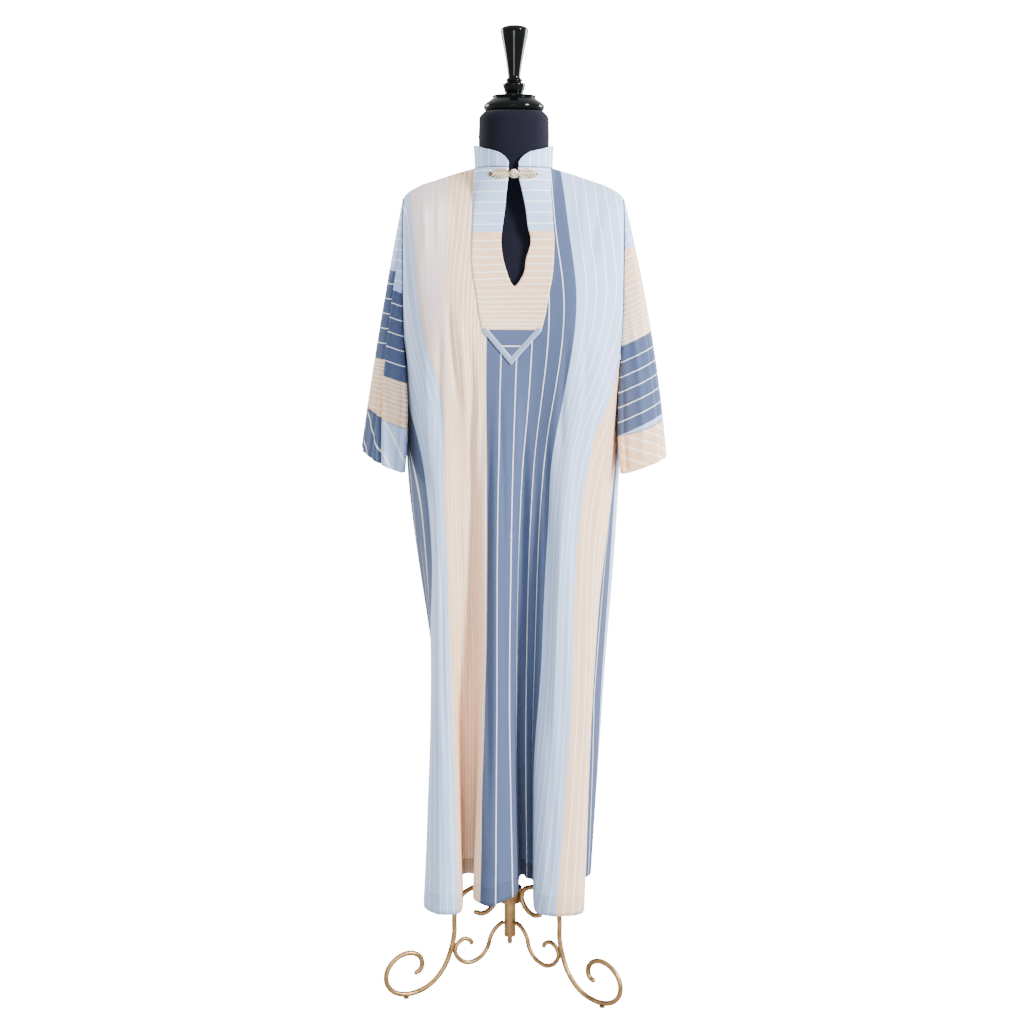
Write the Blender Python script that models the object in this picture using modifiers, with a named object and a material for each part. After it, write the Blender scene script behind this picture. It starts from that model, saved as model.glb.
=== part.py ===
"""A striped kaftan dress on a limbless dress form, which stands on a tripod of scrolled rods.

Metres, +Z up, the front of the dress faces -Y. The form's axis is X = Y = 0 while the pieces are made.
Last, the root empty moves them all so that the origin lies on the floor under the object's middle.
"""
import math

import bmesh
import bpy
import numpy as np
from mathutils import Vector

# Cloth
CLOTH = 0.0015
SEAM_GAP = 0.0005
TRIM_LIFT = 0.0017
TRIM_THICK = 0.0009

# Heights up the dress
NECK_Z = 1.436
CHEST_Z = 1.33
BUST_Z = 1.24
WAIST_Z = 0.93
KNEE_Z = 0.50
HEM_Z = 0.168
UNDERARM_Z = 1.12
HEIGHTS = (HEM_Z, KNEE_Z, WAIST_Z, BUST_Z, CHEST_Z, NECK_Z)

# How far the hem rises where a fold runs back under the dress, on each side of the middle
VALLEY_LIFT_LEFT = 0.030
VALLEY_LIFT_RIGHT = 0.021
LIFT_FROM_Y = -0.105
LIFT_TO_Y = -0.060
LIFT_INNER_X = 0.095
LIFT_OUTER_X = 0.112

# The front hem's own rise along its middle crest, and its drop at the right corner: X, rise
HEM_RISE = (
    (-0.084, 0.0), (-0.074, 0.021), (-0.060, 0.021), (-0.035, 0.017), (-0.012, 0.026),
    (0.007, 0.029), (0.024, 0.029), (0.040, 0.0), (0.095, 0.0), (0.124, -0.006),
)

# The neck seam and the shoulder line, half width against height
NECK_RADIUS = 0.066
SHOULDER = ((0.066, 1.436), (0.100, 1.426), (0.135, 1.4145), (0.155, 1.408), (0.175, 1.398), (0.186, 1.388))
SHOULDER_ROUND = 2.2

# Front folds from the viewer's left to right: X at the hem, knee, waist, bust and neck, then Y at the
# hem, knee, waist, bust and chest
FRONT_FOLDS = {
    "edge_left": ((-0.150, -0.136, -0.148, -0.180, -0.176), (-0.080, -0.085, -0.085, -0.078, -0.070)),
    "crest_a": ((-0.122, -0.121, -0.134, -0.158, -0.150), (-0.124, -0.118, -0.110, -0.102, -0.086)),
    "crest_a_right": ((-0.087, -0.098, -0.110, -0.122, -0.115), (-0.116, -0.116, -0.115, -0.117, -0.091)),
    "valley_1_left": ((-0.082, -0.080, -0.086, -0.102, -0.095), (0.004, -0.062, -0.104, -0.121, -0.092)),
    "valley_1_right": ((-0.066, -0.062, -0.064, -0.078, -0.070), (0.004, -0.062, -0.104, -0.121, -0.092)),
    "crest_b_left": ((-0.060, -0.051, -0.050, -0.052, -0.048), (-0.112, -0.108, -0.111, -0.118, -0.092)),
    "crest_b": ((-0.030, -0.028, -0.027, -0.022, -0.020), (-0.134, -0.126, -0.119, -0.116, -0.093)),
    "crest_b_right": ((0.007, 0.000, -0.001, 0.012, 0.012), (-0.112, -0.112, -0.113, -0.116, -0.093)),
    "valley_2_left": ((0.021, 0.015, 0.020, 0.045, 0.040), (0.004, -0.062, -0.098, -0.118, -0.092)),
    "valley_2_right": ((0.037, 0.033, 0.040, 0.070, 0.065), (0.004, -0.062, -0.098, -0.120, -0.092)),
    "crest_c_left": ((0.046, 0.047, 0.064, 0.104, 0.095), (-0.112, -0.108, -0.110, -0.121, -0.092)),
    "crest_c": ((0.083, 0.090, 0.102, 0.140, 0.132), (-0.132, -0.128, -0.124, -0.108, -0.088)),
    "edge_right": ((0.124, 0.131, 0.152, 0.180, 0.176), (-0.098, -0.104, -0.088, -0.078, -0.070)),
}

# Back folds, the same columns
BACK_FOLDS = {
    "edge_left": ((-0.122, -0.132, -0.182, -0.178, -0.172), (0.105, 0.100, 0.070, 0.092, 0.086)),
    "crest_left": ((-0.098, -0.104, -0.130, -0.130, -0.120), (0.165, 0.145, 0.110, 0.116, 0.108)),
    "dip_left": ((-0.052, -0.060, -0.066, -0.066, -0.060), (0.108, 0.104, 0.096, 0.116, 0.112)),
    "crest_middle": ((0.010, 0.004, 0.000, 0.000, 0.000), (0.168, 0.146, 0.112, 0.112, 0.112)),
    "dip_right": ((0.068, 0.066, 0.066, 0.066, 0.060), (0.110, 0.106, 0.096, 0.116, 0.112)),
    "crest_right": ((0.116, 0.122, 0.132, 0.130, 0.120), (0.162, 0.142, 0.110, 0.116, 0.108)),
    "edge_right": ((0.148, 0.165, 0.186, 0.178, 0.172), (0.105, 0.095, 0.070, 0.092, 0.086)),
}

# Side seam and armhole: height, half width on the left and right, Y of the front's and the back's edge
SIDE_SEAM = (
    (HEM_Z, 0.118, 0.122, 0.050, 0.050),
    (KNEE_Z, 0.124, 0.134, 0.035, 0.035),
    (WAIST_Z, 0.176, 0.178, 0.005, 0.005),
    (UNDERARM_Z, 0.184, 0.184, 0.008, 0.008),
    (1.15, 0.185, 0.185, -0.032, 0.042),
    (1.20, 0.185, 0.185, -0.044, 0.055),
    (BUST_Z, 0.185, 0.185, -0.048, 0.060),
    (CHEST_Z, 0.185, 0.185, -0.050, 0.060),
    (NECK_Z, 0.185, 0.185, -0.050, 0.060),
)
COLUMNS_PER_FOLD = 2
BACK_COLUMNS_PER_FOLD = 3
SKIRT_ROWS = (BUST_Z, 1.15, UNDERARM_Z, 1.03, WAIST_Z, 0.80, 0.66, KNEE_Z, 0.38, 0.27, HEM_Z)
SHOULDER_ROWS = 5
SEEK_PER_FOLD = 4
SLOPE_STEP = 0.002

# Bib outline: height, X of the left edge, X of the right edge
BIB_EDGES = (
    (1.168, -0.0510, 0.0475),
    (1.190, -0.0560, 0.0530),
    (1.225, -0.0612, 0.0590),
    (1.250, -0.0655, 0.0640),
    (1.277, -0.0690, 0.0668),
    (1.315, -0.0684, 0.0678),
    (1.350, -0.0672, 0.0650),
    (1.400, -0.0660, 0.0610),
    (1.450, -0.0640, 0.0600),
)
BIB_POINT = (-0.0030, 1.112)
BIB_TOP = 1.4345
BIB_SPARE = 0.003
BIB_COLUMNS = 14
BIB_ROWS = (BIB_TOP, 1.425, 1.410, 1.385, 1.355, 1.325, 1.295, 1.270, 1.245, 1.220, 1.195, 1.168)
BIB_POINT_ROWS = 3

# Cutters run along Y from in front of the dress to just behind the front's cloth
CUT_FROM_Y = -0.3
PANEL_CUT_TO_Y = -0.004
BIB_CUT_TO_Y = -0.002
KEYHOLE_CUT_TO_Y = 0.02

# Keyhole: height, X of the left edge, X of the right edge
KEYHOLE = (
    (1.239, 0.0010, 0.0040),
    (1.246, -0.0045, 0.0095),
    (1.258, -0.0090, 0.0165),
    (1.283, -0.0165, 0.0210),
    (1.315, -0.0200, 0.0285),
    (1.335, -0.0180, 0.0240),
    (1.365, -0.0140, 0.0200),
    (1.398, -0.0110, 0.0130),
    (1.415, -0.0090, 0.0090),
    (1.480, -0.0090, 0.0090),
)
BINDING_WIDTH = 0.008
BINDING_LAP = 0.001
BINDING_STEPS = 6
MITRE_GAP = 0.0004

# Stand collar
COLLAR_BOTTOM = 1.4380
COLLAR_HEIGHT = 0.037
COLLAR_RADIUS = 0.0655
COLLAR_COLUMNS = 36
COLLAR_GAP_HALF = 0.0085
COLLAR_ROWS = (0.0, 0.35, 0.7, 1.0)

# The collar's front edge, from its end beside the opening: X away from the middle, height
COLLAR_EDGE = (
    (0.0085, 0.0070), (0.0128, 0.0135), (0.0180, 0.0185), (0.0250, 0.0228), (0.0370, 0.0268),
    (0.0490, 0.0300), (0.0600, 0.0345), (0.0655, 0.0370),
)

# Sleeves: outermost, front outer, front inner, back inner and back outer points of the sleeve hem
SLEEVE_HEMS = {
    "left": (
        (-0.262, 0.030, 0.963), (-0.235, -0.050, 0.942), (-0.192, -0.052, 0.922),
        (-0.194, 0.060, 0.950), (-0.250, 0.075, 0.965),
    ),
    "right": (
        (0.266, 0.010, 0.953), (0.252, -0.050, 0.944), (0.196, -0.052, 0.922),
        (0.198, 0.060, 0.945), (0.252, 0.070, 0.956),
    ),
}
SLEEVE_BULGE = {"left": 0.003, "right": 0.009}
SLEEVE_START = 0.1869
SLEEVE_TOP_Z = 1.388
CUFF_DEPTHS = {"left": 0.075, "right": 0.064}
CUFF_GAP_SHARE = 0.004
SLEEVE_COLUMNS = 24
SLEEVE_ROWS = 6
CUFF_ROWS = 2

# Dress form: height, half width, front depth, back depth
TORSO_SECTIONS = (
    (0.740, 0.120, 0.062, 0.070),
    (0.750, 0.132, 0.070, 0.080),
    (0.820, 0.142, 0.076, 0.088),
    (0.930, 0.130, 0.080, 0.082),
    (1.030, 0.112, 0.076, 0.074),
    (1.120, 0.126, 0.086, 0.080),
    (1.200, 0.146, 0.102, 0.092),
    (1.255, 0.154, 0.106, 0.100),
    (1.320, 0.160, 0.082, 0.100),
    (1.360, 0.158, 0.070, 0.088),
    (1.385, 0.142, 0.060, 0.070),
    (1.402, 0.112, 0.054, 0.058),
    (1.414, 0.080, 0.054, 0.056),
    (1.428, 0.0600, 0.0565, 0.0570),
    (1.470, 0.0595, 0.0590, 0.0590),
    (1.505, 0.0590, 0.0585, 0.0585),
    (1.524, 0.0560, 0.0555, 0.0555),
    (1.530, 0.0500, 0.0495, 0.0495),
)
TORSO_SIDES = 32
TORSO_SQUARENESS = 2.3

# Turned pieces: radius, height, from the top down
CAP_PROFILE = (
    (0.0, 1.5575), (0.0355, 1.5575), (0.0368, 1.5555), (0.0352, 1.5532), (0.0390, 1.5502), (0.0465, 1.5450),
    (0.0510, 1.5405), (0.0515, 1.5370), (0.0490, 1.5320), (0.0440, 1.5304), (0.0, 1.5304),
)
FINIAL_PROFILE = (
    (0.0, 1.6730), (0.0110, 1.6722), (0.0190, 1.6700), (0.0235, 1.6660), (0.0232, 1.6600), (0.0180, 1.6350),
    (0.0130, 1.6080), (0.0100, 1.5860), (0.0135, 1.5840), (0.0140, 1.5815), (0.0120, 1.5790), (0.0190, 1.5765),
    (0.0193, 1.5745), (0.0150, 1.5600), (0.0150, 1.5578), (0.0, 1.5578),
)
TURN_STEPS = 24

# Stand
POLE_RADIUS = 0.0103
POLE_FOOT = 0.086
POLE_TOP = 0.7397
HUB_RADIUS = 0.0210
HUB_FOOT = 0.150
HUB_TOP = 0.176
LEG_RADIUS = 0.0040
BRACE_RADIUS = 0.0033
LEG_HEADINGS = {"left": -66.0, "right": 54.0, "back": 180.0}
LEG_POINTS = 40
BRACE_POINTS = 20
GLIDE_REACH = 0.198
GLIDE_RADIUS = 0.0050
GLIDE_HEIGHT = 0.0030
GLIDE_SIDES = 20
FIT_GAP = 0.0003
ROUTE_STEPS = 6

# Leg rod: reach from the axis, height, from the end of its upper curl to the end of its floor scroll
LEG_ROUTE = (
    (0.070, 0.1395), (0.052, 0.134), (0.034, 0.144), (0.0255, 0.162), (0.031, 0.177), (0.049, 0.185),
    (0.070, 0.1845), (0.089, 0.176), (0.102, 0.160), (0.107, 0.138), (0.1075, 0.104), (0.1150, 0.072),
    (0.1285, 0.0430), (0.1525, 0.0190), (0.1765, 0.0092), (0.198, 0.0075), (0.220, 0.0145), (0.2335, 0.031),
    (0.234, 0.052), (0.2225, 0.070), (0.205, 0.080), (0.187, 0.081), (0.173, 0.073), (0.168, 0.060),
    (0.172, 0.048), (0.183, 0.043),
)
BRACE_ROUTE = (
    (0.0116, 0.1125), (0.019, 0.110), (0.030, 0.101), (0.038, 0.0875), (0.043, 0.071), (0.057, 0.0545),
    (0.079, 0.0475), (0.097, 0.056), (0.1058, 0.072), (0.100, 0.086), (0.088, 0.0925), (0.077, 0.088),
    (0.073, 0.080),
)

# Frog closure
FROG_Z = 1.4230
FROG_LIFT = 0.0013
FROG_WINGS = {"left": (-0.042, -0.0061), "right": (0.0071, 0.038)}
FROG_HEIGHT = 0.0180
FROG_THICK = 0.0045
KNOT_RADIUS = 0.0060
KNOT_X = 0.0005
KNOT_SIDES = 12
KNOT_RINGS = 8

MATERIALS = {
    "striped_cloth": ((0.42, 0.45, 0.56), 0.85, 0.0),
    "bib_cloth": ((0.76, 0.62, 0.53), 0.85, 0.0),
    "pale_cloth": ((0.56, 0.62, 0.74), 0.85, 0.0),
    "cord": ((0.80, 0.72, 0.58), 0.65, 0.0),
    "jersey": ((0.018, 0.017, 0.030), 0.90, 0.0),
    "lacquer": ((0.008, 0.010, 0.010), 0.15, 0.0),
    "gold": ((0.48, 0.32, 0.15), 0.38, 1.0),
}


def clear_scene():
    for thing in list(bpy.data.objects):
        bpy.data.objects.remove(thing, do_unlink=True)


def new_collection(name):
    group = bpy.data.collections.new(name)
    bpy.context.scene.collection.children.link(group)
    return group


def make_materials():
    made = {}
    for name, (colour, roughness, metallic) in MATERIALS.items():
        material = bpy.data.materials.new(name)
        material.use_nodes = True
        shader = material.node_tree.nodes["Principled BSDF"]
        shader.inputs["Base Color"].default_value = (*colour, 1.0)
        shader.inputs["Roughness"].default_value = roughness
        shader.inputs["Metallic"].default_value = metallic
        made[name] = material
    return made


def add_object(name, data, material):
    thing = bpy.data.objects.new(name, data)
    part_group.objects.link(thing)
    thing.parent = root
    data.materials.append(materials[material])
    return thing


def smooth_value(places, values, at):
    """A smooth curve through values at rising places, read at one place and held past its ends."""
    places = np.asarray(places, float)
    values = np.asarray(values, float)
    at = min(max(at, places[0]), places[-1])
    slopes = np.gradient(values, places)
    i = int(np.clip(np.searchsorted(places, at) - 1, 0, len(places) - 2))
    span = places[i + 1] - places[i]
    t = (at - places[i]) / span
    start = (2 * t**3 - 3 * t**2 + 1) * values[i] + (t**3 - 2 * t**2 + t) * span * slopes[i]
    end = (3 * t**2 - 2 * t**3) * values[i + 1] + (t**3 - t**2) * span * slopes[i + 1]
    return start + end


def spline_points(points, per_span, closed=False):
    """Points of a centripetal Catmull-Rom curve through the given points, the last one included if open."""
    points = [np.asarray(p, float) for p in points]
    if closed:
        ring = [points[-1], *points, points[0], points[1]]
    else:
        ring = [2 * points[0] - points[1], *points, 2 * points[-1] - points[-2]]
    out = []
    for a, b, c, d in zip(ring, ring[1:], ring[2:], ring[3:]):
        knots = [0.0]
        for p, q in ((a, b), (b, c), (c, d)):
            knots.append(knots[-1] + max(np.linalg.norm(q - p), 1e-9) ** 0.5)
        for k in range(per_span):
            t = knots[1] + (knots[2] - knots[1]) * k / per_span
            ab = ((knots[1] - t) * a + (t - knots[0]) * b) / (knots[1] - knots[0])
            bc = ((knots[2] - t) * b + (t - knots[1]) * c) / (knots[2] - knots[1])
            cd = ((knots[3] - t) * c + (t - knots[2]) * d) / (knots[3] - knots[2])
            abc = ((knots[2] - t) * ab + (t - knots[0]) * bc) / (knots[2] - knots[0])
            bcd = ((knots[3] - t) * bc + (t - knots[1]) * cd) / (knots[3] - knots[1])
            out.append(((knots[2] - t) * abc + (t - knots[1]) * bcd) / (knots[2] - knots[1]))
    if not closed:
        out.append(points[-1])
    return out


def evenly(points, count):
    """The same path, walked in equal steps."""
    points = np.asarray(points, float)
    steps = np.linalg.norm(np.diff(points, axis=0), axis=1)
    walked = np.concatenate([[0.0], np.cumsum(steps)])
    stops = np.linspace(0.0, walked[-1], count)
    return np.column_stack([np.interp(stops, walked, points[:, k]) for k in range(points.shape[1])])


def cloth_sheet(name, rows, material, thickness=CLOTH, wrap=False):
    """A wall of cloth: rows of points, joined by quads and thickened evenly to both sides."""
    mesh = bmesh.new()
    grid = [[mesh.verts.new(p) for p in row] for row in rows]
    columns = len(grid[0])
    for upper, lower in zip(grid, grid[1:]):
        for j in range(columns if wrap else columns - 1):
            k = (j + 1) % columns
            mesh.faces.new((upper[j], lower[j], lower[k], upper[k]))
    data = bpy.data.meshes.new(name)
    mesh.to_mesh(data)
    mesh.free()
    data.shade_smooth()
    sheet = add_object(name, data, material)
    wall = sheet.modifiers.new("Wall", "SOLIDIFY")
    wall.thickness = thickness
    wall.offset = 0.0
    return sheet


def prism_cutter(name, outline, depth_from, depth_to):
    """A cutter that runs along Y through an outline given as X, Z points."""
    mesh = bmesh.new()
    front = [mesh.verts.new((x, depth_from, z)) for x, z in outline]
    face = mesh.faces.new(front)
    moved = bmesh.ops.extrude_face_region(mesh, geom=[face])["geom"]
    ends = [v for v in moved if isinstance(v, bmesh.types.BMVert)]
    bmesh.ops.translate(mesh, vec=(0.0, depth_to - depth_from, 0.0), verts=ends)
    bmesh.ops.recalc_face_normals(mesh, faces=mesh.faces)
    data = bpy.data.meshes.new(name)
    mesh.to_mesh(data)
    mesh.free()
    cutter = bpy.data.objects.new(name, data)
    cutter_group.objects.link(cutter)
    cutter.parent = root
    cutter.hide_render = True
    cutter.display_type = "WIRE"
    return cutter


def cut_by(thing, cutter, operation="DIFFERENCE"):
    cut = thing.modifiers.new("Cut", "BOOLEAN")
    cut.operation = operation
    cut.object = cutter


def neck_y(x):
    """Y of the neck seam's front half, and zero on the shoulder line."""
    return -NECK_RADIUS * math.sqrt(max(0.0, 1.0 - (x / NECK_RADIUS) ** 2))


def top_z(x):
    """Height of the panels' upper edge: the neck seam in the middle, the shoulder line beside it."""
    widths, heights = zip(*SHOULDER)
    return float(np.interp(abs(x), widths, heights))


def fold_section(folds, height, front):
    """The plan outline of a panel at one height, from its left edge to its right edge, as X, Y points."""
    columns = list(zip(*SIDE_SEAM))
    edge_y = np.interp(height, columns[0], columns[3 if front else 4])
    gap = -SEAM_GAP if front else SEAM_GAP
    points = [(-np.interp(height, columns[0], columns[1]), edge_y + gap)]
    for xs, ys in folds.values():
        x = smooth_value(HEIGHTS, (*xs[:4], 0.5 * (xs[3] + xs[4]), xs[4]), height)
        y = smooth_value(HEIGHTS, (*ys, ys[4]), height)
        points.append((x, y))
    points.append((np.interp(height, columns[0], columns[2]), edge_y + gap))
    return points


def panel_point(x, base_y, rise, front):
    """A point above the chest: rise runs from 0 at the chest to 1 at the neck seam or the shoulder line."""
    edge_y = neck_y(x) if front else -neck_y(x)
    edge_y += -SEAM_GAP if front else SEAM_GAP
    y = edge_y + (base_y - edge_y) * (1.0 - rise**SHOULDER_ROUND)
    return (x, y, CHEST_Z + rise * (top_z(x) - CHEST_Z))


def hem_lift(x, y, height, front):
    """How far the cloth is drawn up where a front fold runs back under the dress."""
    if not front:
        return 0.0
    share = min(max((y - LIFT_FROM_Y) / (LIFT_TO_Y - LIFT_FROM_Y), 0.0), 1.0)
    share *= min(max((LIFT_OUTER_X - abs(x)) / (LIFT_OUTER_X - LIFT_INNER_X), 0.0), 1.0)
    valley = (VALLEY_LIFT_LEFT if x < 0 else VALLEY_LIFT_RIGHT) * share * share * (3 - 2 * share)
    places, rises = zip(*HEM_RISE)
    rise = float(np.interp(x, places, rises))
    down = min(max((KNEE_Z - height) / (KNEE_Z - HEM_Z), 0.0), 1.0)
    return (max(valley, rise) if valley > 0.0 else rise) * down


def panel_rows(folds, front, per_fold):
    rows = []
    for k in range(SHOULDER_ROWS + 1):
        rise = 1.0 - k / SHOULDER_ROWS
        section = fold_section(folds, CHEST_Z + rise * (NECK_Z - CHEST_Z), front)
        rows.append([panel_point(x, y, rise, front) for x, y in spline_points(section, per_fold)])
    for height in SKIRT_ROWS:
        line = spline_points(fold_section(folds, height, front), per_fold)
        rows.append([(x, y, height + hem_lift(x, y, height, front)) for x, y in line])
    return rows


def front_point(x, z, lift=0.0):
    """The front panel's point at X and Z above the waist, moved out by lift along its normal."""
    def depth(px, pz):
        if pz <= CHEST_Z:
            rise, height = 0.0, pz
        else:
            rise = min((pz - CHEST_Z) / (top_z(px) - CHEST_Z), 1.0)
            height = CHEST_Z + rise * (NECK_Z - CHEST_Z)
        line = np.array(spline_points(fold_section(FRONT_FOLDS, height, True), SEEK_PER_FOLD))
        middle = line[2 * SEEK_PER_FOLD:-2 * SEEK_PER_FOLD]
        base_y = float(np.interp(px, middle[:, 0], middle[:, 1]))
        return panel_point(px, base_y, rise, True)[1] if rise > 0.0 else base_y

    y = depth(x, z)
    if lift == 0.0:
        return (x, y, z)
    slope_x = (depth(x + SLOPE_STEP, z) - depth(x - SLOPE_STEP, z)) / (2 * SLOPE_STEP)
    slope_z = (depth(x, z + SLOPE_STEP) - depth(x, z - SLOPE_STEP)) / (2 * SLOPE_STEP)
    normal = Vector((slope_x, -1.0, slope_z)).normalized()
    return tuple(Vector((x, y, z)) + lift * normal)


def bib_outline(grow):
    """The bib's outline as X, Z points, grown outwards by a distance."""
    heights, lefts, rights = zip(*BIB_EDGES)
    left = [(x - grow, z - 0.5 * grow) for x, z in zip(lefts, heights)]
    right = [(x + grow, z - 0.5 * grow) for x, z in zip(rights, heights)]
    point = (BIB_POINT[0], BIB_POINT[1] - 1.4 * grow)
    return [point, *right, *reversed(left)]


def make_panels():
    front = cloth_sheet("front_panel", panel_rows(FRONT_FOLDS, True, COLUMNS_PER_FOLD), "striped_cloth")
    cut_by(front, prism_cutter("bib_hole", bib_outline(SEAM_GAP), CUT_FROM_Y, PANEL_CUT_TO_Y))
    back_rows = [list(reversed(row)) for row in panel_rows(BACK_FOLDS, False, BACK_COLUMNS_PER_FOLD)]
    cloth_sheet("back_panel", back_rows, "striped_cloth")


def make_bib():
    heights, lefts, rights = zip(*BIB_EDGES)
    rows = []
    for z in BIB_ROWS:
        left = smooth_value(heights, lefts, z) - BIB_SPARE
        right = smooth_value(heights, rights, z) + BIB_SPARE
        rows.append([front_point(x, z) for x in np.linspace(left, right, BIB_COLUMNS + 1)])
    for k in range(1, BIB_POINT_ROWS + 1):
        share = k / BIB_POINT_ROWS
        z = heights[0] + (BIB_POINT[1] - BIB_SPARE - heights[0]) * share
        left = lefts[0] + (BIB_POINT[0] - lefts[0]) * share - BIB_SPARE
        right = rights[0] + (BIB_POINT[0] - rights[0]) * share + BIB_SPARE
        rows.append([front_point(x, z) for x in np.linspace(left, right, BIB_COLUMNS + 1)])
    bib = cloth_sheet("bib_panel", rows, "bib_cloth")
    cut_by(bib, prism_cutter("bib_shape", bib_outline(0.0), CUT_FROM_Y, BIB_CUT_TO_Y), "INTERSECT")
    key_z, key_left, key_right = zip(*KEYHOLE)
    outline = [*zip(key_left, key_z), *reversed(list(zip(key_right, key_z)))]
    cut_by(bib, prism_cutter("keyhole", outline, CUT_FROM_Y, KEYHOLE_CUT_TO_Y))


def make_bindings():
    """The two strips that finish the bib's point, mitred at its tip."""
    corners = {"left": (BIB_EDGES[0][1], BIB_EDGES[0][0]), "right": (BIB_EDGES[0][2], BIB_EDGES[0][0])}
    tip = np.array(BIB_POINT)
    for side, corner in corners.items():
        corner = np.array(corner)
        sign = 1 if side == "right" else -1
        along = (corner - tip) / np.linalg.norm(corner - tip)
        inward = np.array([-along[1], along[0]]) * sign
        mitre = np.array([MITRE_GAP * sign, 0.0])
        rows = []
        for k in range(BINDING_STEPS + 1):
            base = tip + (corner - tip) * k / BINDING_STEPS
            outer = base - inward * BINDING_LAP + mitre
            inner = base + inward * BINDING_WIDTH
            if k == 0:
                outer = tip + np.array([0.0, -BINDING_LAP / abs(along[0])]) + mitre
                inner = tip + np.array([0.0, BINDING_WIDTH / abs(along[0])]) + mitre
            row = [front_point(*p, lift=TRIM_LIFT) for p in (outer, 0.5 * (outer + inner), inner)]
            rows.append(list(reversed(row)))
        cloth_sheet(f"bib_binding_{side}", rows, "pale_cloth", TRIM_THICK)


def collar_height(x):
    """The collar keeps its height round the neck and rounds down to the seam at its front ends."""
    places, heights = zip(*COLLAR_EDGE)
    return float(np.interp(abs(x), places, heights))


def make_collar():
    gap_angle = math.asin(COLLAR_GAP_HALF / COLLAR_RADIUS)
    rows = []
    for share in COLLAR_ROWS:
        row = []
        for k in range(COLLAR_COLUMNS + 1):
            angle = gap_angle + (2 * math.pi - 2 * gap_angle) * k / COLLAR_COLUMNS
            x = COLLAR_RADIUS * math.sin(angle)
            y = -COLLAR_RADIUS * math.cos(angle)
            height = collar_height(x) if y < 0 else COLLAR_HEIGHT
            row.append((x, y, COLLAR_BOTTOM + share * height))
        rows.append(row)
    cloth_sheet("stand_collar", rows, "pale_cloth")


def make_sleeves():
    heights = [row[0] for row in SIDE_SEAM]
    for side, corners in SLEEVE_HEMS.items():
        sign = -1.0 if side == "left" else 1.0
        count = SLEEVE_COLUMNS
        armhole = []
        for k in range(count):
            turn = 2 * math.pi * k / count
            z = 0.5 * (SLEEVE_TOP_Z + UNDERARM_Z) + 0.5 * (SLEEVE_TOP_Z - UNDERARM_Z) * math.cos(turn)
            column = 3 if math.sin(turn) > 0 else 4
            y = np.interp(z, heights, [row[column] for row in SIDE_SEAM])
            if z > CHEST_Z:
                rise = (z - CHEST_Z) / (SLEEVE_TOP_Z - CHEST_Z)
                y *= 1.0 - rise**SHOULDER_ROUND
            armhole.append(np.array((sign * SLEEVE_START, y, z + SEAM_GAP)))
        hem = evenly([*spline_points(corners, 8, closed=True), corners[0]], count + 1)[:-1]
        lines = []
        for a, b in zip(armhole, hem):
            middle = 0.5 * (a + b) + np.array((sign * SLEEVE_BULGE[side], 0.0, 0.0))
            lines.append((a, middle, b))

        def line_point(line, share):
            a, middle, b = line
            start = a * (1 - share) * (1 - 2 * share)
            return start + middle * 4 * share * (1 - share) + b * share * (2 * share - 1)

        cuff_shares = [1.0 - CUFF_DEPTHS[side] / np.linalg.norm(b - a) for a, _, b in lines]
        sleeve_rows = []
        for r in range(SLEEVE_ROWS + 1):
            share = r / SLEEVE_ROWS
            ends = [share * (cut - CUFF_GAP_SHARE) for cut in cuff_shares]
            sleeve_rows.append([line_point(line, end) for line, end in zip(lines, ends)])
        cuff_rows = []
        for r in range(CUFF_ROWS + 1):
            share = r / CUFF_ROWS
            ends = [cut + (1 - cut) * share for cut in cuff_shares]
            cuff_rows.append([line_point(line, end) for line, end in zip(lines, ends)])
        if side == "right":
            sleeve_rows = [list(reversed(row)) for row in sleeve_rows]
            cuff_rows = [list(reversed(row)) for row in cuff_rows]
        cloth_sheet(f"sleeve_{side}", sleeve_rows, "striped_cloth", wrap=True)
        cloth_sheet(f"cuff_{side}", cuff_rows, "bib_cloth", wrap=True)


def make_frog():
    for side, (start, end) in FROG_WINGS.items():
        middle = 0.5 * (start + end)
        mesh = bmesh.new()
        bmesh.ops.create_uvsphere(mesh, u_segments=KNOT_SIDES, v_segments=KNOT_RINGS, radius=0.5)
        for v in mesh.verts:
            lift = FROG_LIFT + (0.5 - v.co.y) * FROG_THICK
            v.co = front_point(middle + v.co.x * (end - start), FROG_Z + v.co.z * FROG_HEIGHT, lift)
        data = bpy.data.meshes.new(f"frog_{side}")
        mesh.to_mesh(data)
        mesh.free()
        data.shade_smooth()
        add_object(f"frog_{side}", data, "cord")
    mesh = bmesh.new()
    bmesh.ops.create_uvsphere(mesh, u_segments=KNOT_SIDES, v_segments=KNOT_RINGS, radius=KNOT_RADIUS)
    data = bpy.data.meshes.new("frog_knot")
    mesh.to_mesh(data)
    mesh.free()
    data.shade_smooth()
    knot = add_object("frog_knot", data, "cord")
    knot.location = front_point(KNOT_X, FROG_Z, FROG_LIFT + 0.5 * FROG_THICK)


def make_torso():
    mesh = bmesh.new()
    heights, widths, fronts, backs = zip(*TORSO_SECTIONS)
    rings = []
    for height, width, front, back in TORSO_SECTIONS:
        ring = []
        for k in range(TORSO_SIDES):
            angle = 2 * math.pi * k / TORSO_SIDES
            c, s = math.cos(angle), math.sin(angle)
            power = 2.0 / TORSO_SQUARENESS
            x = width * math.copysign(abs(c) ** power, c)
            y = (back if s > 0 else front) * math.copysign(abs(s) ** power, s)
            ring.append(mesh.verts.new((x, y, height)))
        rings.append(ring)
    for lower, upper in zip(rings, rings[1:]):
        for k in range(TORSO_SIDES):
            n = (k + 1) % TORSO_SIDES
            mesh.faces.new((lower[k], lower[n], upper[n], upper[k]))
    mesh.faces.new(list(reversed(rings[0])))
    mesh.faces.new(rings[-1])
    data = bpy.data.meshes.new("form_torso")
    mesh.to_mesh(data)
    mesh.free()
    data.shade_smooth()
    add_object("form_torso", data, "jersey")


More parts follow.
